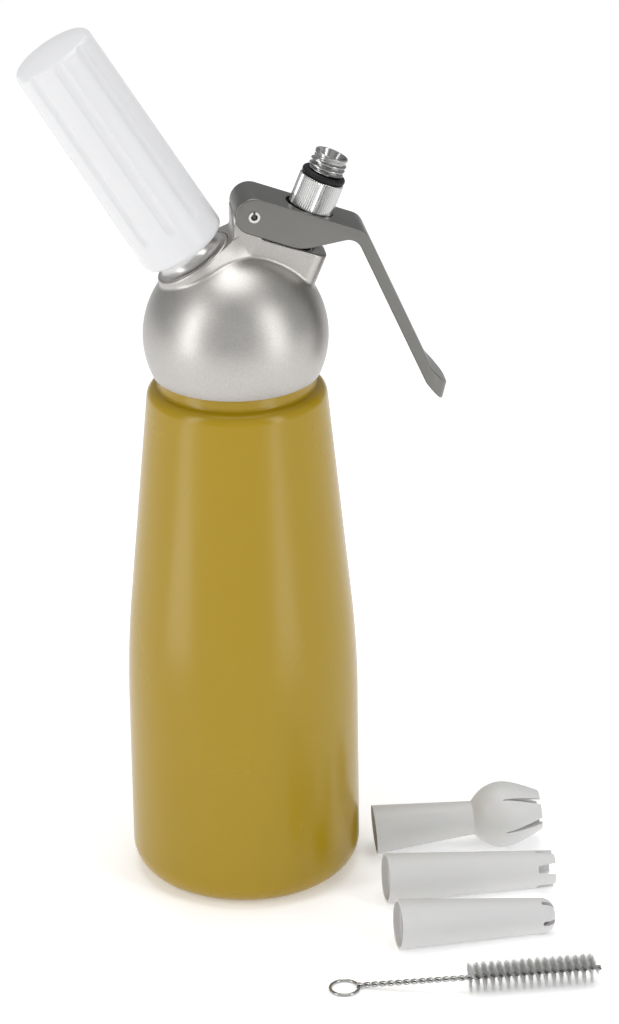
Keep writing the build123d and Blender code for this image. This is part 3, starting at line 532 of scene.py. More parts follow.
def fit(piece: bpy.types.Object, body: str, slot: str, *nodes: str) -> bpy.types.Object:
    """Let a piece ride on a body and stand for CAD nodes.

    Args:
        piece: The finished piece.
        body: The CAD body that carries it.
        slot: The record's material slot. Not used.
        *nodes: The CAD nodes that it replaces.

    Returns:
        The piece.
    """
    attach(piece, body)
    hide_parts(*nodes)
    LOG.info("%s rides on %s, %d faces", piece.name, body, len(piece.data.polygons))
    return piece


@dataclass
class SubAssembly:
    """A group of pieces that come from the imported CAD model.

    Args:
        nodes: The CAD nodes' objects by name.
    """

    nodes: dict[str, bpy.types.Object]

    def dress(self, name: str, finish: Finish) -> None:
        """Give a carried-over CAD node its material.

        Args:
            name: The node's name.
            finish: Its material.
        """
        node = self.nodes[name]
        if not node.material_slots:
            node.data.materials.append(None)
        for slot in node.material_slots:
            slot.material = finish.material()
        LOG.info("%s keeps its CAD shape, finish %s", name, finish.name)

    def smooth_copy(self, node: str, name: str, body: str, slot: str, finish: Finish,
                    sharp: float = 28.0) -> bpy.types.Object:
        """Replace a CAD node by a copy whose merged faces shade smoothly.

        Args:
            node: The CAD node.
            name: The copy's name.
            body: The body that carries it.
            slot: The record's material slot. Not used.
            finish: Its material.
            sharp: Edges that turn by more than this many degrees stay sharp.

        Returns:
            The copy.
        """
        mesh = self.nodes[node].data.copy()
        mesh.name = name
        return fit(closed_object(name, mesh, finish, sharp), body, slot, node)


# ---------------------------------------------------------------- bottle


@dataclass
class Bottle:
    """Drawn aluminium flask: flat base, straight body, tapered upper part, plain band, threaded neck.

    Args:
        radius: Radius of the straight body.
        wall: Thickness of the wall.
        base_corner: Fillet from the base to the body.
        taper_start: Height where the body's line meets the taper's.
        taper_bend: Fillet between those two lines.
        shoulder_height: Height of the shoulder's corner.
        shoulder_radius: Radius of the shoulder's corner.
        shoulder_round: Fillet of the shoulder.
        foot_height: Height of the neck's foot.
        foot_round: Fillet at the neck's foot.
        neck_radius: Radius of the plain band at the neck's foot.
        band_top: Height of the band's upper edge.
        band_edge: Fillet on that edge.
        core_radius: Radius of the neck under its thread.
        core_foot: Fillet between the band and the core.
        core_margin: How far inside the core's radius the outline still counts as the neck's outside.
        bore_radius: Radius of the mouth.
        mouth_height: Height of the mouth.
        mouth_round: Fillet on both edges of the mouth.
        thread_pitch: Pitch of the thread.
        thread_depth: Height of its crest.
        thread_inset: Distance of its ends from the band and from the mouth.
        body_run: Longest run of the outline away from the thread.
        thread_run: Longest run of the outline on the neck's outside.
        arc_steps: Runs in each fillet.
        columns: Faces round the flask.
    """

    radius: float = 40.99
    wall: float = 1.8
    base_corner: float = 10.4
    taper_start: float = 85.6
    taper_bend: float = 390.0
    shoulder_height: float = 185.6
    shoulder_radius: float = 31.25
    shoulder_round: float = 4.5
    foot_height: float = 187.0
    foot_round: float = 1.2
    neck_radius: float = 27.4
    band_top: float = 193.0
    band_edge: float = 0.25
    core_radius: float = 25.7
    core_foot: float = 0.2
    core_margin: float = 0.3
    bore_radius: float = 23.4
    mouth_height: float = 205.0
    mouth_round: float = 0.5
    thread_pitch: float = 3.5
    thread_depth: float = 0.95
    thread_inset: float = 1.2
    body_run: float = 6.0
    thread_run: float = 0.3
    arc_steps: int = 12
    columns: int = 160

    def outline(self) -> np.ndarray:
        """The wall's outline, from the base's middle up the outside and down the inside.

        Returns:
            Rows of radius and height.
        """
        inset, wall = self.radius - self.wall, self.wall
        corners = [
            (0.0, 0.0),
            (self.radius, 0.0, self.base_corner),
            (self.radius, self.taper_start, self.taper_bend),
            (self.shoulder_radius, self.shoulder_height, self.shoulder_round),
            (self.neck_radius, self.foot_height, self.foot_round),
            (self.neck_radius, self.band_top, self.band_edge),
            (self.core_radius, self.band_top, self.core_foot),
            (self.core_radius, self.mouth_height, self.mouth_round),
            (self.bore_radius, self.mouth_height, self.mouth_round),
            (self.bore_radius, self.foot_height - wall, self.foot_round),
            (self.shoulder_radius - wall, self.shoulder_height - wall, self.shoulder_round - wall),
            (inset, self.taper_start, self.taper_bend),
            (inset, wall, self.base_corner - wall),
            (0.0, wall)]
        return rounded(corners, self.arc_steps)

    def build(self) -> bpy.types.Object:
        """Turn the outline about Z, with the thread's relief on the outside of the neck.

        Returns:
            The flask.
        """
        outline = self.outline()
        neck = (outline[:, 0] > self.core_radius - self.core_margin) & (outline[:, 1] > self.band_top)
        first, past = np.argmax(neck), len(neck) - np.argmax(neck[::-1])
        rows = np.concatenate([divided(outline[:first], self.body_run),
                               divided(outline[neck], self.thread_run),
                               divided(outline[past:], self.body_run)])
        radius, station, angle = rows[:, :1], rows[:, 1:], turn_angles(self.columns)[None]
        on_core = (np.abs(radius - self.core_radius) < ON_OUTLINE) & (station > self.band_top)
        relief = thread_relief(station, angle, self.thread_pitch, self.thread_depth,
                               self.band_top + self.thread_inset, self.mouth_height - self.thread_inset)
        grid = UPRIGHT.points(radius + relief * on_core, angle, station)
        return fit(surface("bottle_flask", [grid], MUSTARD_ENAMEL), "bottle", "paint", "bottle")


# ---------------------------------------------------------------- head and lever


@dataclass
class Head(SubAssembly):
    """Cast ball head with its gasket, the lever's pin and the valve parts inside.

    Args:
        spring_foot: Station on the piston's axis where the valve spring stands. Not used.
        spring_length: Its length at rest. Not used.
        piston_travel: How far the piston comes down on it. Not used.
        coil_edge: Edges of the wire that turn by more than this many degrees stay sharp.
    """

    spring_foot: float = -18.58
    spring_length: float = 8.51
    piston_travel: float = 2.8
    coil_edge: float = 50.0

    def build(self) -> None:
        """Dress the casting and everything that is held in it or lies under it."""
        self.smooth_copy("head", "head_casting", "head", "cast_aluminium", BLASTED_ALUMINIUM)
        self.smooth_copy("lever_pin", "lever_spring_pin", "head", "steel", SPRING_STEEL)
        self.build_spring()
        self.dress("head_gasket", GREY_SILICONE)
        self.dress("piston_bush", TURNED_BRASS)
        self.dress("piercing_pin", DRAWN_STEEL)
        self.dress("inlet_gasket", BLACK_NITRILE)
        self.dress("check_valve_sleeve", BLACK_NITRILE)

    def build_spring(self) -> None:
        """Replace the valve spring by a smooth copy with a mesh of its own.
        """
        spring = self.smooth_copy("piston_spring", "valve_spring", "head", "steel", DRAWN_STEEL,
                                  self.coil_edge)
        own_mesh(spring)


class Lever(SubAssembly):
    """Pressed channel lever."""

    def build(self) -> None:
        """Dress the pressing."""
        self.smooth_copy("lever", "lever_pressing", "lever", "lever_aluminium", ANODISED_SHEET)


class Piston(SubAssembly):
    """Valve tube with its rings, seals and cap."""

    def build(self) -> None:
        """Dress the valve parts, which move with the lever."""
        self.dress("piston", BRIGHT_NICKEL)
        self.dress("piston_o_rings", BLACK_NITRILE)
        self.dress("valve_seal", BLACK_NITRILE)
        self.dress("valve_cap", TURNED_BRASS)
        self.dress("adapter_gasket", GREY_SILICONE)


# ---------------------------------------------------------------- nozzle adapter


@dataclass
class NozzleAdapter:
    """Knurled sleeve with its thread, rim and open spout, and the O-ring round it.

    Args:
        sleeve_radius: Radius over the knurl's teeth.
        sleeve_bottom: Station of the sleeve's lower end.
        sleeve_top: Station of its upper end.
        chamfer: Chamfer on both its ends.
        teeth: Teeth of the knurl.
        tooth_depth: Depth of the knurl.
        tooth_edge: Sharpness of the teeth, at most one.
        tooth_columns: Faces across a tooth.
        core_radius: Radius under the thread.
        ring_radius: Radius of the O-ring's middle line.
        ring_section: Thickness of the O-ring.
        ring_columns: Faces round the O-ring's section and round the axis.
        thread_pitch: Pitch of the thread.
        thread_depth: Height of its crest.
        thread_start: First station of the thread.
        thread_end: Last station of the thread.
        rim_radius: Radius of the rim above the thread.
        rim_bottom: Station of the rim's underside at the core.
        rim_rise: Climb of that underside to the rim's edge.
        rim_top: Station of the rim's top.
        rim_rounds: Fillets under the rim, on its lower edge and on its upper edge.
        spout_mouth: Radius of the spout at the rim.
        mouth_round: Fillet on the spout's edge.
        flare_depth: Depth over which the spout narrows.
        flare_round: Fillet at the flare's end.
        spout_radius: Radius of the spout below the flare.
        spout_floor: Station of the spout's floor.
        outlet_radius: Radius of the hole in that floor.
        piston_bore: Radius of the bore that takes the piston.
        seat: Station of that bore's end.
        row_run: Longest run of the outline.
        arc_steps: Runs in each fillet.
        shade_margin: Height above the sleeve where the darker plating that paints shade begins.
    """

    sleeve_radius: float = 7.9
    sleeve_bottom: float = -2.2
    sleeve_top: float = 10.95
    chamfer: float = 0.4
    teeth: int = 60
    tooth_depth: float = 0.3
    tooth_edge: float = 0.97
    tooth_columns: int = 6
    core_radius: float = 5.38
    ring_radius: float = 6.565
    ring_section: float = 2.35
    ring_columns: tuple[int, int] = (24, 96)
    thread_pitch: float = 1.75
    thread_depth: float = 0.9
    thread_start: float = 13.0
    thread_end: float = 18.4
    rim_radius: float = 5.9
    rim_bottom: float = 18.9
    rim_rise: float = 0.1
    rim_top: float = 20.1
    rim_rounds: tuple[float, float, float] = (0.2, 0.25, 0.35)
    spout_mouth: float = 5.2
    mouth_round: float = 0.15
    flare_depth: float = 3.4
    flare_round: float = 1.0
    spout_radius: float = 3.9
    spout_floor: float = 8.7
    outlet_radius: float = 3.0
    piston_bore: float = 4.55
    seat: float = 7.5
    row_run: float = 0.25
    arc_steps: int = 4
    shade_margin: float = 0.05

    def outline(self) -> np.ndarray:
        """The adapter's outline, up the outside, down the spout and the piston's bore, closed.

        Returns:
            Rows of radius and station.
        """
        top, bottom, cut = self.sleeve_top, self.sleeve_bottom, self.chamfer
        under_rim, lower_edge, upper_edge = self.rim_rounds
        corners = [
            (self.piston_bore, bottom),
            (self.sleeve_radius - cut, bottom),
            (self.sleeve_radius, bottom + cut),
            (self.sleeve_radius, top - cut),
            (self.sleeve_radius - cut, top),
            (self.core_radius, top),
            (self.core_radius, self.rim_bottom, under_rim),
            (self.rim_radius, self.rim_bottom + self.rim_rise, lower_edge),
            (self.rim_radius, self.rim_top, upper_edge),
            (self.spout_mouth, self.rim_top, self.mouth_round),
            (self.spout_radius, self.rim_top - self.flare_depth, self.flare_round),
            (self.spout_radius, self.spout_floor),
            (self.outlet_radius, self.spout_floor),
            (self.outlet_radius, self.seat),
            (self.piston_bore, self.seat),
            (self.piston_bore, bottom)]
        return rounded(corners, self.arc_steps)

    def build(self) -> None:
        """Build the adapter and its ring."""
        self.build_sleeve()
        self.build_ring()

    def build_sleeve(self) -> None:
        """Turn the outline, with teeth on the sleeve and a thread on the core.

        With a triangle wave w between -1 and 1, 2 / pi asin(edge cos(teeth angle)), the knurl cuts
        depth (1 - w) / 2 into the sleeve. It fades in over each chamfer.
        """
        rows = divided(self.outline(), self.row_run)
        radius, station = rows[:, :1], rows[:, 1:]
        angle = turn_angles(self.teeth * self.tooth_columns)[None]
        wave = 2 / math.pi * np.arcsin(self.tooth_edge * np.cos(self.teeth * angle))
        on_sleeve = np.clip((radius - (self.sleeve_radius - self.chamfer)) / self.chamfer, 0.0, 1.0)
        knurl = -0.5 * self.tooth_depth * (1 - wave) * on_sleeve
        on_core = (np.abs(radius - self.core_radius) < ON_OUTLINE) & (station > self.sleeve_top)
        thread = thread_relief(station, angle, self.thread_pitch, self.thread_depth, self.thread_start,
                               self.thread_end) * on_core
        grid = PISTON_AXIS.points(radius + knurl + thread, angle, station)
        adapter = surface("knurled_adapter", [grid], BRIGHT_NICKEL)
        # The thread and the spout get a darker plating as painted shade.
        self.shade_thread_and_spout(adapter.data)
        fit(adapter, "piston", "plated_metal", "nozzle_adapter")

    def build_ring(self) -> None:
        """Lay the O-ring on the sleeve's top: radius R + r cos a and station top + r + r sin a."""
        section, round_axis = (turn_angles(columns) for columns in self.ring_columns)
        half, section = self.ring_section / 2, section[:, None]
        ring = PISTON_AXIS.points(self.ring_radius + half * np.cos(section), round_axis[None],
                                  self.sleeve_top + half + half * np.sin(section))
        fit(surface("adapter_seal_ring", [ring], BLACK_NITRILE), "piston", "seal_rubber", "adapter_o_ring")

    def shade_thread_and_spout(self, mesh: bpy.types.Mesh) -> None:
        """Give the darker plating, painted shade on the thread and in the spout, to every face whose station
        along the axis is above the sleeve.

        Args:
            mesh: The adapter's mesh.
        """
        mesh.materials.append(SHADED_NICKEL.material())
        centres = np.empty(3 * len(mesh.polygons))
        mesh.polygons.foreach_get("center", centres)
        station = (centres.reshape(-1, 3) / MM - PISTON_AXIS.datum) @ PISTON_AXIS.along
        above = station > self.sleeve_top + self.shade_margin
        mesh.polygons.foreach_set("material_index", above.astype(np.int32))


# ---------------------------------------------------------------- charger inlet and holder


@dataclass
class ChargerInlet:
    """Polished inlet screwed into the head's pad: flange, flare, thread and the charger's recess.

    Args:
        flange_radius: Radius of the flange.
        flange_foot: Station of the flange's underside.
        flange_thickness: Thickness of its edge.
        waist_radius: Radius of the neck under its thread.
        waist_station: Station where the flare ends.
        thread_pitch: Pitch of the thread.
        thread_depth: Height of its crest.
        thread_lead: Distance from the waist to the thread's start.
        thread_gap: Distance from the thread's end to the top.
        top: Station of the top.
        top_round: Fillet on the top's outer edge.
        recess_radius: Radius of the recess for the bulb's neck.
        recess_round: Fillet on the recess's edge.
        recess_floor: Station of the recess's floor.
        shank_radius: Radius of the shank that screws into the head.
        shank_end: Station of the shank's end.
        nipple_radius: Radius of the nipple below it.
        nipple_end: Station of the nipple's end.
        passage_radius: Radius of the gas passage.
        passage_end: Station of the passage's end.
        flare_rows: Points of the flare.
        row_run: Longest run of the outline.
        columns: Faces round the inlet.
    """

    flange_radius: float = 13.0
    flange_foot: float = -7.0
    flange_thickness: float = 0.15
    waist_radius: float = 10.2
    waist_station: float = -3.4
    thread_pitch: float = 2.0
    thread_depth: float = 0.8
    thread_lead: float = 1.6
    thread_gap: float = 1.0
    top: float = 14.0
    top_round: float = 0.6
    recess_radius: float = 4.75
    recess_round: float = 0.4
    recess_floor: float = 10.8
    shank_radius: float = 6.0
    shank_end: float = -13.2
    nipple_radius: float = 3.0
    nipple_end: float = -18.4
    passage_radius: float = 1.4
    passage_end: float = -17.2
    flare_rows: int = 14
    row_run: float = 0.3
    columns: int = 120

    def outline(self) -> np.ndarray:
        """The inlet's outline, from the nipple's end up the outside and down the recess and passage.

        The flare is a quarter of an ellipse: radius flange - (flange - waist) sin a, station
        waist - (waist - flange top) cos a, for a from nothing to a right angle.

        Returns:
            Rows of radius and station.
        """
        flange_top = self.flange_foot + self.flange_thickness
        quarter = np.linspace(0.0, math.pi / 2, self.flare_rows)
        flare = np.column_stack([
            self.flange_radius - (self.flange_radius - self.waist_radius) * np.sin(quarter),
            self.waist_station - (self.waist_station - flange_top) * np.cos(quarter)])
        lower = np.array([(0.0, self.nipple_end), (self.nipple_radius, self.nipple_end),
                          (self.nipple_radius, self.shank_end), (self.shank_radius, self.shank_end),
                          (self.shank_radius, self.flange_foot), (self.flange_radius, self.flange_foot)])
        upper = rounded([(self.waist_radius, self.waist_station),
                         (self.waist_radius, self.top, self.top_round),
                         (self.recess_radius, self.top, self.recess_round),
                         (self.recess_radius, self.recess_floor),
                         (self.passage_radius, self.recess_floor),
                         (self.passage_radius, self.passage_end),
                         (0.0, self.passage_end)])
        return np.concatenate([lower, flare, upper])

    def build(self) -> None:
        """Turn the outline, with the thread above the waist."""
        rows = divided(self.outline(), self.row_run)
        radius, station, angle = rows[:, :1], rows[:, 1:], turn_angles(self.columns)[None]
        on_waist = np.abs(radius - self.waist_radius) < ON_OUTLINE
        thread = thread_relief(station, angle, self.thread_pitch, self.thread_depth,
                               self.waist_station + self.thread_lead, self.top - self.thread_gap)
        grid = HOLDER_AXIS.points(radius + thread * on_waist, angle, station)
        fit(surface("inlet_screw", [grid], SATIN_NICKEL), "head", "plated_metal", "charger_inlet")


class GasCharger(SubAssembly):
    """Gas bulb in the holder."""

    def build(self) -> None:
        """Dress the bulb."""
        self.dress("gas_charger", ZINC_STEEL)


@dataclass
class ChargerHolder:
    """Moulded cup with finger flutes that run out through its crown.

    Args:
        bottom: Station of the mouth.
        corner: Station where the side's line meets the crown.
        top: Station of the crown's middle.
        bottom_radius: Radius of the side's line at the mouth.
        top_radius: Radius of that line at the corner.
        edge_round: Fillet on the mouth's outer edge.
        crown_round: Fillet between side and crown.
        crown_rows: Points of the crown, from the corner to the middle.
        crown_start: Which of those points the fillet runs up to.
        flutes: Number of flutes.
        first_flute: Angle of the first flute in degrees.
        cutter_radius: Radius of the ball-ended cutter that the flutes have the shape of.
        flute_depth: How deep it goes into the side.
        flute_bottom: Station of the cutter's lowest point.
        flute_blend: Width over which a flute's edge is softened.
        blend_reach: Distance from a flute's surface beyond which the cup is left plain.
        flute_columns: Faces from one flute's middle to the next.
        thread_bore: Radius of the bore that takes the inlet's thread.
        thread_end: Station of that bore's end.
        well_radius: Radius of the well for the bulb.
        well_round: Fillet at the well's end.
        well_end: Station of the well's end.
        row_run: Longest run of the outline.
        arc_steps: Runs in each fillet.
        sharp: Edges that turn by more than this many degrees stay sharp.
    """

    bottom: float = -2.1
    corner: float = 81.0
    top: float = 83.2
    bottom_radius: float = 15.45
    top_radius: float = 14.7
    edge_round: float = 2.2
    crown_round: float = 2.4
    crown_rows: int = 14
    crown_start: int = 3
    flutes: int = 9
    first_flute: float = -86.0
    cutter_radius: float = 3.0
    flute_depth: float = 1.0
    flute_bottom: float = 8.2
    flute_blend: float = 0.02
    blend_reach: float = 2.0
    flute_columns: int = 38
    thread_bore: float = 11.1
    thread_end: float = 14.4
    well_radius: float = 9.55
    well_round: float = 9.0
    well_end: float = 77.75
    row_run: float = 0.8
    arc_steps: int = 10
    sharp: float = 40.0

    def outline(self) -> np.ndarray:
        """The cup's outline, from the mouth up the outside, over the crown and down the well.

        The crown is a parabola: at a share t of the way in, radius r (1 - t) and rise h (1 - (1 - t)^2).

        Returns:
            Rows of radius and station.
        """
        share = np.linspace(0.0, 1.0, self.crown_rows)
        crown = np.column_stack([self.top_radius * (1 - share),
                                 self.corner + (self.top - self.corner) * (1 - (1 - share) ** 2)])
        side = rounded([(self.thread_bore, self.bottom),
                        (self.bottom_radius, self.bottom, self.edge_round),
                        (self.top_radius, self.corner, self.crown_round),
                        tuple(crown[self.crown_start])], self.arc_steps)
        inside = rounded([(0.0, self.well_end),
                          (self.well_radius, self.well_end, self.well_round),
                          (self.well_radius, self.thread_end),
                          (self.thread_bore, self.thread_end),
                          (self.thread_bore, self.bottom)], self.arc_steps)
        return np.concatenate([side, crown[self.crown_start + 1:], inside])

    def fluted(self, radius: np.ndarray, station: np.ndarray, angle: np.ndarray) -> np.ndarray:
        """Radius of the outside with the flutes pressed in.

        Seen along the axis, a flute is a circle of the cutter's radius whose centre lies at d from the
        axis. At an angle a from the flute its near side is d cos a - sqrt(cutter^2 - (d sin a)^2), and
        the wall is the soft minimum of that and the plain cup: with g the gap between the two,
        (near + plain - sqrt(g^2 + blend^2)) / 2. Towards the flute's foot the cutter's radius shrinks
        as a ball's does, sqrt(cutter^2 - below^2). The centre keeps to the side's line, so a flute
        runs out where the crown falls away from that line.

        Args:
            radius: Radii of the plain cup in millimetres.
            station: Stations in millimetres.
            angle: Angles in radians.

        Returns:
            Radii of the fluted cup in millimetres.
        """
        step = 2 * math.pi / self.flutes
        offset = angle - math.radians(self.first_flute)
        offset = offset - step * np.round(offset / step)
        draft = (self.bottom_radius - self.top_radius) / (self.corner - self.bottom)
        wall = self.bottom_radius - draft * (station - self.bottom)
        below = np.clip(self.flute_bottom + self.cutter_radius - station, 0.0, self.cutter_radius)
        centre = wall + self.cutter_radius - self.flute_depth
        inside = self.cutter_radius ** 2 - below ** 2 - (centre * np.sin(offset)) ** 2
        near = centre * np.cos(offset) - np.sqrt(np.maximum(inside, 0.0))
        gap = near - radius
        soft = 0.5 * (near + radius - np.sqrt(gap ** 2 + self.flute_blend ** 2))
        return np.where((inside > 0) & (gap < self.blend_reach), np.minimum(radius, soft), radius)

    def build(self) -> None:
        """Turn the outline, fluted from the flutes' feet up over the crown."""
        rows = divided(self.outline(), self.row_run)
        radius, station = rows[:, :1], rows[:, 1:]
        angle = turn_angles(self.flutes * self.flute_columns)[None]
        crown_middle = np.argmax(rows[:, 0] < ON_OUTLINE)
        outside = (np.arange(len(rows)) < crown_middle)[:, None] & (station > self.flute_bottom)
        grid = HOLDER_AXIS.points(np.where(outside, self.fluted(radius, station, angle), radius), angle,
                                  station)
        fit(surface("holder_cup", [grid], WHITE_POLYPROPYLENE, self.sharp), "holder", "white_plastic",
            "charger_holder")


# ---------------------------------------------------------------- decorator tips


@dataclass
class DecoratorTip:
    """A tip that lies on the floor: a turned shell whose end is split by slots.

    Args:
        name: The piece's name.
        node: The CAD node that it replaces, which is also the name of the body that carries it.
        place: X and Y of the mouth's centre.
        heading: Turn from X towards Y in degrees.
        rise: Climb from the floor in degrees.
        outer: Corners of the outside, from the mouth to the end.
        inner: Corners of the inside, from the mouth to the end.
        slot_start: Station where the slots begin.
        slot_foot: Width of a slot where it begins.
        slot_width: Width of a slot at the tip's end.
        first_petal: Angle in degrees of the first petal's middle.
        slots: Number of slots.
        petal_columns: Points across a petal.
        body_run: Step between rows before the slots.
        petal_rows: Rows along a petal.
        slot_lead: Share of a petal's length from the slots' start to its first row.
        outline_run: Step with which the outlines are measured.
        arc_steps: Runs in each fillet.
        sharp: Edges that turn by more than this many degrees stay sharp.
    """

    name: str
    node: str
    place: tuple[float, float]
    heading: float
    rise: float
    outer: Sequence[tuple[float, ...]]
    inner: Sequence[tuple[float, ...]]
    slot_start: float
    slot_foot: float
    slot_width: float
    first_petal: float
    slots: int
    petal_columns: int = 25
    body_run: float = 0.5
    petal_rows: int = 24
    slot_lead: float = 0.02
    outline_run: float = 0.1
    arc_steps: int = 8
    sharp: float = 40.0

    def paired_rows(self) -> list[np.ndarray]:
        """Pair the rows of the outside and the inside, so that the slots' sides can join them.

        Both outlines get a row at each of the same shares of their length up to the slots' start, and
        at the same shares of the length beyond it. The first row beyond the start lies close to it,
        which makes the slots' feet square.

        Returns:
            The outside's rows and the inside's rows of radius and station, equally many.
        """
        walls = [divided(rounded(corners, self.arc_steps), self.outline_run)
                 for corners in (self.outer, self.inner)]
        before = math.ceil(walls[0][:, 1].max() / self.body_run)
        shares = np.concatenate([np.linspace(0.0, 1.0, before),
                                 1 + np.linspace(self.slot_lead, 1.0, self.petal_rows)])
        pair = []
        for wall in walls:
            length = np.concatenate([[0.0], np.cumsum(np.hypot(*np.diff(wall, axis=0).T))])
            if np.all(np.diff(wall[:, 1]) > 0):
                start = np.interp(self.slot_start, wall[:, 1], length)
            else:
                start = length[np.argmax(wall[:, 1] >= self.slot_start)]
            marks = np.interp(shares, [0.0, 1.0, 2.0], [0.0, start, length[-1]])
            pair.append(np.column_stack([np.interp(marks, length, wall[:, i]) for i in (0, 1)]))
        return pair

    def half_width(self, station: np.ndarray) -> np.ndarray:
        """Half a slot's width: (foot + (width - foot) * share of the way to the end) / 2, none before.

        Args:
            station: Stations in millimetres.

        Returns:
            Half widths in millimetres.
        """
        past = station - self.slot_start
        share = past / (self.outer[-1][1] - self.slot_start)
        width = self.slot_foot + (self.slot_width - self.slot_foot) * share
        return np.where(past > ON_OUTLINE, width / 2, 0.0)

    def petals(self, rows: np.ndarray) -> np.ndarray:
        """One wall of every petal: an angle runs across it and shrinks by asin(half width / radius).

        Args:
            rows: Rows of radius and station.

        Returns:
            Petals by rows by columns by three, in millimetres.
        """
        radius, station = rows[:, :1], rows[:, 1:]
        share = np.linspace(-1.0, 1.0, self.petal_columns)[None]
        half_step = math.pi / self.slots
        narrow = np.arcsin(np.clip(self.half_width(station) / radius, 0.0, math.sin(half_step)))
        across = share * (half_step - narrow)
        turns = np.arange(self.slots) / self.slots
        middle = (math.radians(self.first_petal) + 2 * math.pi * turns)[:, None, None]
        return self.axis().points(radius[None], middle + across[None], station[None])

    def axis(self) -> Axis:
        """The axis that the tip is turned about."""
        return Axis.laid(*self.place, self.heading, self.rise)

    def build(self) -> None:
        """Join the outside, the inside, the rims and the slots' sides, and set the tip on the floor."""
        outer_rows, inner_rows = self.paired_rows()
        split = outer_rows[:, 1] >= self.slot_start - ON_OUTLINE
        grids: list[np.ndarray] = []
        for outside, inside in zip(self.petals(outer_rows), self.petals(inner_rows)):
            grids += [outside, inside]
            grids += [np.stack([outside[row], inside[row]]) for row in (0, -1)]
            grids += [np.stack([outside[split, column], inside[split, column]]) for column in (0, -1)]
        floor = min(float(grid[..., 2].min()) for grid in grids)
        for grid in grids:
            grid[..., 2] -= floor
        fit(surface(self.name, grids, MATT_POLYPROPYLENE, self.sharp), self.node, "tip_plastic", self.node)


def decorator_tips() -> list[DecoratorTip]:
    """Describe the three tips.

    Returns:
        The tulip, crown and dome tips.
    """
    # Each mouth has a counterbore for the adapter's O-ring and a bore for its thread.
    mouth = [(7.99, 0.0), (7.99, 2.35), (6.38, 2.35), (6.38, 10.0)]
    bulb_outer = spline([(6.1, 36.2), (9.3, 39.4), (11.95, 46.8), (10.4, 53.7), (7.2, 61.0)])
    bulb_inner = spline([(4.7, 36.2), (7.3, 39.4), (10.55, 46.8), (9.0, 53.7), (5.8, 61.0)])
    return [
        DecoratorTip("tulip_decorator", "tulip_tip", place=(46.5, -3.5), heading=-1.0, rise=3.74,
                     outer=[(8.9, 0.0)] + bulb_outer, inner=mouth + bulb_inner,
                     slot_start=46.8, slot_foot=0.3, slot_width=2.54, first_petal=7.2, slots=6),
        DecoratorTip("crown_decorator", "crown_tip", place=(45.4, -40.4), heading=2.5, rise=-2.25,
                     outer=[(8.9, 0.0), (6.5, 60.6), (6.1, 61.0)],
                     inner=mouth + [(5.1, 60.8), (5.3, 61.0)],
                     slot_start=54.4, slot_foot=2.5, slot_width=4.06, first_petal=-8.4, slots=5),
        DecoratorTip("dome_decorator", "dome_tip", place=(44.9, -74.0), heading=3.5, rise=-2.92,
                     outer=[(8.9, 0.0), (6.05, 56.0, 4.4), (1.36, 56.0)],
                     inner=mouth + [(4.65, 54.6, 3.0), (1.36, 54.6)],
                     slot_start=51.2, slot_foot=1.6, slot_width=1.6, first_petal=17.6, slots=5),
    ]


# ---------------------------------------------------------------- cleaning brush


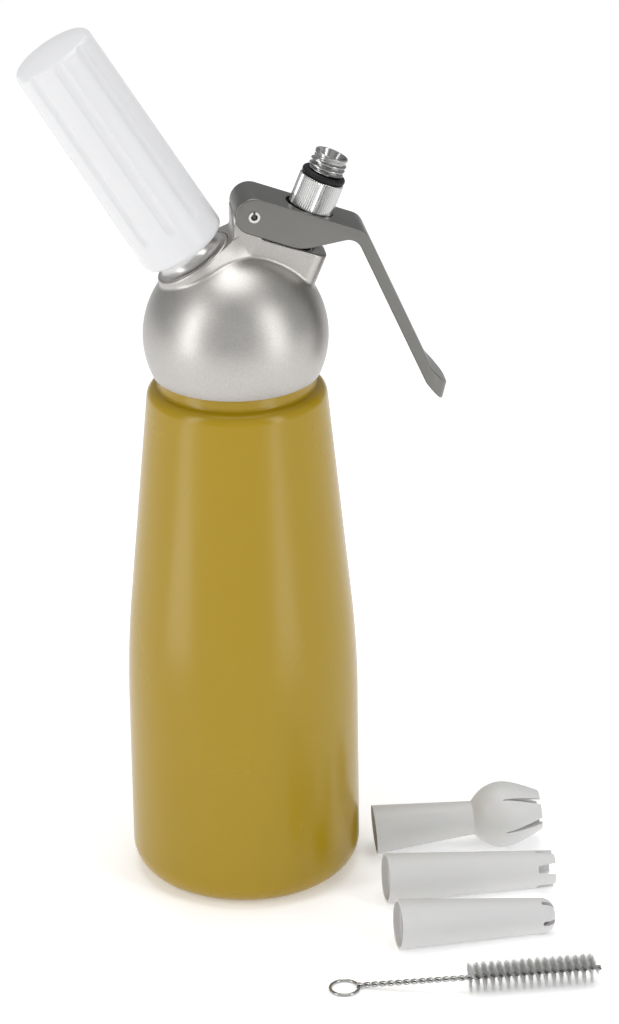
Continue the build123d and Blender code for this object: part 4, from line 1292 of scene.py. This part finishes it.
@dataclass
class Brush:
    """Twisted-wire brush with a finger ring, lying on the floor.

    Args:
        ring_centre: X and Y of the finger ring's middle.
        ring_radius: Radius of the ring's middle line.
        ring_wire: Radius of the ring's wire.
        ring_columns: Faces round the ring's wire and round the ring.
        stem_end: X of the stem's tip.
        stem_y: Y of the stem's level run.
        stem_height: Height of that run.
        stem_overlap: How far the stem reaches into the ring.
        bend_x: X where the climb's line meets the level run.
        bend_softness: Width over which one turns into the other.
        strand_radius: Radius of each wire of the twisted pair, and of its winding.
        strand_rows: Points along a wire.
        strand_columns: Faces round a wire.
        twist_pitch: Length of a full twist.
        hair_start: X where the hairs begin.
        hair_end: X where they end.
        hair_reach: Reach of the longest hairs from the stem's middle.
        hair_trim: Share of that reach by which the shortest ones fall short.
        hair_radius: Radius of a hair.
        hair_shift: Scatter of the hairs along the stem.
        hair_fan: Scatter of their angles in radians.
        hair_lean: Scatter of the distance by which their ends lean along the stem.
        hairs: Number of hairs.
        seed: Seed of the scatter.
        sharp: Edges of the wire that turn by more than this many degrees stay sharp.
        hair_sharp: The same for the hairs.
    """

    ring_centre: tuple[float, float] = (22.3, -100.3)
    ring_radius: float = 4.95
    ring_wire: float = 0.56
    ring_columns: tuple[int, int] = (14, 64)
    stem_end: float = 110.3
    stem_y: float = -108.9
    stem_height: float = 5.9
    stem_overlap: float = 0.6
    bend_x: float = 59.9
    bend_softness: float = 6.0
    strand_radius: float = 0.52
    strand_rows: int = 340
    strand_columns: int = 10
    twist_pitch: float = 5.3
    hair_start: float = 64.2
    hair_end: float = 108.6
    hair_reach: float = 5.85
    hair_trim: float = 0.05
    hair_radius: float = 0.095
    hair_shift: float = 0.12
    hair_fan: float = 0.1
    hair_lean: float = 0.38
    hairs: int = 2800
    seed: int = 7
    sharp: float = 50.0
    hair_sharp: float = 80.0

    def stem_line(self, x: np.ndarray) -> np.ndarray:
        """Middle of the stem: a straight climb from the ring that turns softly into a level run.

        With d = bend - x, the distance still to climb is (d + sqrt(d^2 + softness^2)) / 2, less
        softness^2 / (4 (end - bend)), which is nearly what that leaves at the stem's end.

        Args:
            x: X in millimetres.

        Returns:
            Points in millimetres.
        """
        start = self.ring_centre[0] + self.ring_radius
        ahead = self.bend_x - x
        left = (ahead + np.sqrt(ahead ** 2 + self.bend_softness ** 2)) / 2
        left = left - self.bend_softness ** 2 / (4 * (self.stem_end - self.bend_x))
        share = np.clip(left / (self.bend_x - start), 0.0, 1.0)
        return np.stack([x, self.stem_y + (self.ring_centre[1] - self.stem_y) * share,
                         self.stem_height + (2 * self.strand_radius - self.stem_height) * share], axis=-1)

    def strand(self, phase: float) -> np.ndarray:
        """One wire of the twisted pair, wound round the stem's middle at its own radius.

        Args:
            phase: Its angle at X zero.

        Returns:
            Grid of points in millimetres.
        """
        x = np.linspace(self.ring_centre[0] + self.ring_radius - self.stem_overlap, self.stem_end,
                        self.strand_rows)
        angle = 2 * math.pi * x / self.twist_pitch + phase
        offset = np.stack([np.zeros_like(x), np.cos(angle), np.sin(angle)], axis=-1)
        middle = self.stem_line(x) + self.strand_radius * offset
        return tube_along(middle, self.strand_radius, self.strand_columns)

    def build_wire(self) -> None:
        """Build the ring, whose wire closes on itself, and the twisted pair.

        The ring's wire is at radius R + r cos a from its middle and at height r (1 + sin a).
        """
        section, round_ring = np.meshgrid(*(turn_angles(columns) for columns in self.ring_columns),
                                          indexing="ij")
        around = self.ring_radius + self.ring_wire * np.cos(section)
        ring = np.stack([self.ring_centre[0] + around * np.cos(round_ring),
                         self.ring_centre[1] + around * np.sin(round_ring),
                         self.ring_wire * (1 + np.sin(section))], axis=-1)
        grids = [ring, self.strand(0.0), self.strand(math.pi)]
        fit(surface("brush_twisted_wire", grids, DRAWN_STEEL, self.sharp), "brush", "steel", "brush_wire")

    def build_bristles(self) -> None:
        """Build fine hairs pinched between the wires, so that they stand in a double helix.

        A hair is a triangular bar along a diameter, with a point at both ends. Its angle follows the
        wires' twist with a little scatter. At a share s of its reach it leans along the stem by
        lean s^2. It ends where it would touch the floor.
        """
        random = np.random.default_rng(self.seed)
        x = np.linspace(self.hair_start, self.hair_end, self.hairs)
        x = np.clip(x + random.normal(0, self.hair_shift, self.hairs), self.hair_start, self.hair_end)
        angle = 2 * math.pi * x / self.twist_pitch + random.normal(0, self.hair_fan, self.hairs)
        stem = self.stem_line(x)
        reach = np.minimum(self.hair_reach * (1 - self.hair_trim * random.random(self.hairs)),
                           stem[:, 2] - self.hair_radius)
        thickness = self.hair_radius * np.array([0.0, 1.0, 1.0, 1.0, 0.0])
        share = np.linspace(-1.0, 1.0, len(thickness))[None, :, None]
        lean = random.normal(0, self.hair_lean, self.hairs)[:, None, None] * share ** 2
        direction = np.stack([np.zeros_like(x), np.cos(angle), np.sin(angle)], axis=-1)[:, None]
        middle = stem[:, None] + direction * share * reach[:, None, None]
        middle[..., 0:1] += lean
        corner = turn_angles(3)[None, None, :, None]
        normal = np.stack([np.zeros_like(x), -np.sin(angle), np.cos(angle)], axis=-1)[:, None, None]
        along = np.array([1.0, 0.0, 0.0])
        bars = middle[:, :, None] + thickness[:, None, None] * (np.cos(corner) * along
                                                                + np.sin(corner) * normal)
        fit(surface("brush_nylon_hairs", list(bars), NYLON_FILAMENT, self.hair_sharp), "brush",
            "bristle_nylon", "brush_bristles")

    def build(self) -> None:
        """Build the wire and the bristles."""
        self.build_wire()
        self.build_bristles()


def tube_along(line: np.ndarray, radius: float, sides: int) -> np.ndarray:
    """A round bar along a line, closed at both ends.

    Each ring of points is radius (cos a n + sin a b), where n is at right angles to the line's
    direction and to Z, and b completes the set. The first and last rings shrink to a point.

    Args:
        line: Points of the line in millimetres.
        radius: The bar's radius.
        sides: Points round it.

    Returns:
        Grid of points in millimetres.
    """
    heading = np.gradient(line, axis=0)
    heading /= np.linalg.norm(heading, axis=1, keepdims=True)
    line, heading = (np.concatenate([rows[:1], rows, rows[-1:]]) for rows in (line, heading))
    thick = np.full(len(line), radius)
    thick[[0, -1]] = 0.0
    normal = np.cross(heading, [0.0, 0.0, 1.0])
    normal /= np.linalg.norm(normal, axis=1, keepdims=True)
    other = np.cross(normal, heading)
    angle = turn_angles(sides)[None, :, None]
    return line[:, None] + thick[:, None, None] * (np.cos(angle) * normal[:, None]
                                                   + np.sin(angle) * other[:, None])


# ---------------------------------------------------------------- studio


@dataclass(frozen=True)
class Softbox:
    """A rectangular soft light on a stand.

    Args:
        name: Its name.
        place: Its centre in metres.
        aim: The point in metres that it faces.
        size: Width and height in metres.
        power: Power in watts.
    """

    name: str
    place: tuple[float, float, float]
    aim: tuple[float, float, float]
    size: tuple[float, float]
    power: float


@dataclass(frozen=True)
class TableStrip:
    """A strip light that lies on the table, along a line that leads away from the bottle.

    Args:
        name: Its name.
        azimuth: Direction of the line from -Y towards X in degrees.
        reach: Distances of its near and far ends from the bottle's axis in metres.
        width: Its width in metres.
        power: Power in watts.
    """

    name: str
    azimuth: float
    reach: tuple[float, float]
    width: float
    power: float


# Two tall boxes give the ball and the sleeve their upright highlights, the one overhead lights the tops
# and the table, and a weak one in front opens the shadows.
SOFTBOXES = (
    Softbox("left_softbox", place=(-1.3, -0.6, 0.7), aim=(0.0, 0.0, 0.3), size=(0.4, 1.6), power=8.6),
    Softbox("right_softbox", place=(1.05, -1.05, 0.7), aim=(0.0, 0.0, 0.3), size=(0.37, 1.6), power=8.0),
    Softbox("top_softbox", place=(0.0, 0.25, 1.9), aim=(0.0, 0.25, 0.0), size=(1.1, 1.4), power=15.0),
    Softbox("front_fill", place=(-0.25, -2.2, 1.3), aim=(0.0, 0.0, 0.2), size=(1.6, 1.2), power=2.0))
# The two streaks down the bottle's enamel.
TABLE_STRIPS = (
    TableStrip("left_table_strip", azimuth=-70.0, reach=(0.32, 0.95), width=0.2, power=0.9),
    TableStrip("right_table_strip", azimuth=38.0, reach=(0.32, 0.95), width=0.17, power=0.75))


@dataclass
class Studio:
    """Camera, pale table and soft lights.

    Args:
        camera_place: Camera in metres.
        heading: Direction of view from Y towards X in degrees.
        pitch: Downward tilt in degrees.
        roll: Turn about the line of sight in degrees.
        lens: Focal length in millimetres.
        sensor: Width of the sensor in millimetres.
        farthest: Distance in metres beyond which the camera sees nothing.
        table_rings: Radii of the table top's rings in millimetres.
        table_columns: Faces round the table top.
        table_drop: How far the table top lies below the floor's level in millimetres.
        strip_rise: How far the table strips lie above that level in metres.
        air_colour: Colour of the surroundings as sRGB hex.
        air_light: Strength of the light from the surroundings.
    """

    camera_place: tuple[float, float, float] = (-0.1407, -1.3594, 0.7448)
    heading: float = 6.94
    pitch: float = 23.98
    roll: float = -0.84
    lens: float = 149.28
    sensor: float = 36.0
    farthest: float = 50.0
    table_rings: tuple[float, ...] = (0.0, 400.0, 1500.0, 6000.0)
    table_columns: int = 64
    table_drop: float = 0.02
    strip_rise: float = 0.0005
    air_colour: str = "#F4F5F7"
    air_light: float = 0.43

    def add_camera(self) -> None:
        """Place the camera and make it the scene's."""
        heading, pitch, roll = (math.radians(turn) for turn in (self.heading, self.pitch, self.roll))
        ahead = Vector((math.sin(heading) * math.cos(pitch), math.cos(heading) * math.cos(pitch),
                        -math.sin(pitch)))
        right = Vector((math.cos(heading), -math.sin(heading), 0.0))
        up = right.cross(ahead)
        right, up = (right * math.cos(roll) + up * math.sin(roll),
                     up * math.cos(roll) - right * math.sin(roll))
        data = bpy.data.cameras.new("studio_camera")
        data.lens, data.sensor_width, data.clip_end = self.lens, self.sensor, self.farthest
        camera = bpy.data.objects.new("studio_camera", data)
        camera.matrix_world = Matrix.Translation(self.camera_place) @ Matrix(
            (right, up, -ahead)).transposed().to_4x4()
        bpy.context.scene.collection.objects.link(camera)
        bpy.context.scene.camera = camera

    def add_softbox(self, box: Softbox) -> None:
        """Hang a softbox so that it faces its aim.

        Args:
            box: The softbox.
        """
        turn = (Vector(box.aim) - Vector(box.place)).to_track_quat("-Z", "Y")
        place = Matrix.Translation(box.place) @ turn.to_matrix().to_4x4()
        self.hang_light(box.name, place, box.size, box.power)

    def add_strip(self, strip: TableStrip, lit: bpy.types.Object) -> None:
        """Lay a strip light on the table, facing up.

        The bottle's wall stands upright and is seen from above, so it mirrors the table. The strip is
        what puts a soft upright streak on it. A light shines along its own -Z, so its Z points down.

        Args:
            strip: The strip light.
            lit: The one piece that it lights.
        """
        turn = math.radians(strip.azimuth)
        outward = Vector((math.sin(turn), -math.cos(turn), 0.0))
        down = Vector((0.0, 0.0, -1.0))
        across = outward.cross(down)
        near, far = strip.reach
        middle = outward * ((near + far) / 2) + Vector((0.0, 0.0, self.strip_rise))
        place = Matrix.Translation(middle) @ Matrix((across, outward, down)).transposed().to_4x4()
        light = self.hang_light(strip.name, place, (strip.width, far - near), strip.power)
        light.visible_camera = False
        light.light_linking.receiver_collection = bpy.data.collections.new(f"{strip.name}_reach")
        light.light_linking.receiver_collection.objects.link(lit)

    def hang_light(self, name: str, place: Matrix, size: tuple[float, float],
                   power: float) -> bpy.types.Object:
        """Put a rectangular light where a matrix says.

        Args:
            name: The light's name.
            place: Its place and turn.
            size: Width and height in metres.
            power: Power in watts.

        Returns:
            The light.
        """
        data = bpy.data.lights.new(name, "AREA")
        data.shape, data.size, data.size_y, data.energy = "RECTANGLE", size[0], size[1], power
        light = bpy.data.objects.new(name, data)
        light.matrix_world = place
        bpy.context.scene.collection.objects.link(light)
        return light

    def add_table(self) -> None:
        """Lay a round table top, as a flat fan of rings about its middle."""
        radius = np.array(self.table_rings)[:, None]
        grid = UPRIGHT.points(radius, turn_angles(self.table_columns)[None], np.array([[-self.table_drop]]))
        surface("studio_table", [grid], STUDIO_TABLE)

    def add_air(self) -> None:
        """Surround the set with an even, nearly white light."""
        world = bpy.data.worlds.new("studio_air")
        world.use_nodes = True
        background = next(node for node in world.node_tree.nodes if node.type == "BACKGROUND")
        background.inputs["Color"].default_value = linear(self.air_colour)
        background.inputs["Strength"].default_value = self.air_light
        bpy.context.scene.world = world

    def build(self, bottle: bpy.types.Object) -> None:
        """Set up the whole studio.

        Args:
            bottle: The flask, which the table strips light.
        """
        self.add_camera()
        self.add_table()
        for box in SOFTBOXES:
            self.add_softbox(box)
        for strip in TABLE_STRIPS:
            self.add_strip(strip, bottle)
        self.add_air()
        bpy.context.scene.view_settings.view_transform = "Standard"


def main() -> None:
    """Load the CAD model, set up the studio and build each sub-assembly in order."""
    logging.basicConfig(level=logging.INFO, format="%(name)s: %(message)s")
    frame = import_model()
    nodes = frame["nodes"]
    flask = Bottle().build()
    Studio().build(flask)
    Head(nodes).build()
    Lever(nodes).build()
    Piston(nodes).build()
    NozzleAdapter().build()
    ChargerInlet().build()
    GasCharger(nodes).build()
    ChargerHolder().build()
    for tip in decorator_tips():
        tip.build()
    Brush().build()


if __name__ == "__main__":
    main()
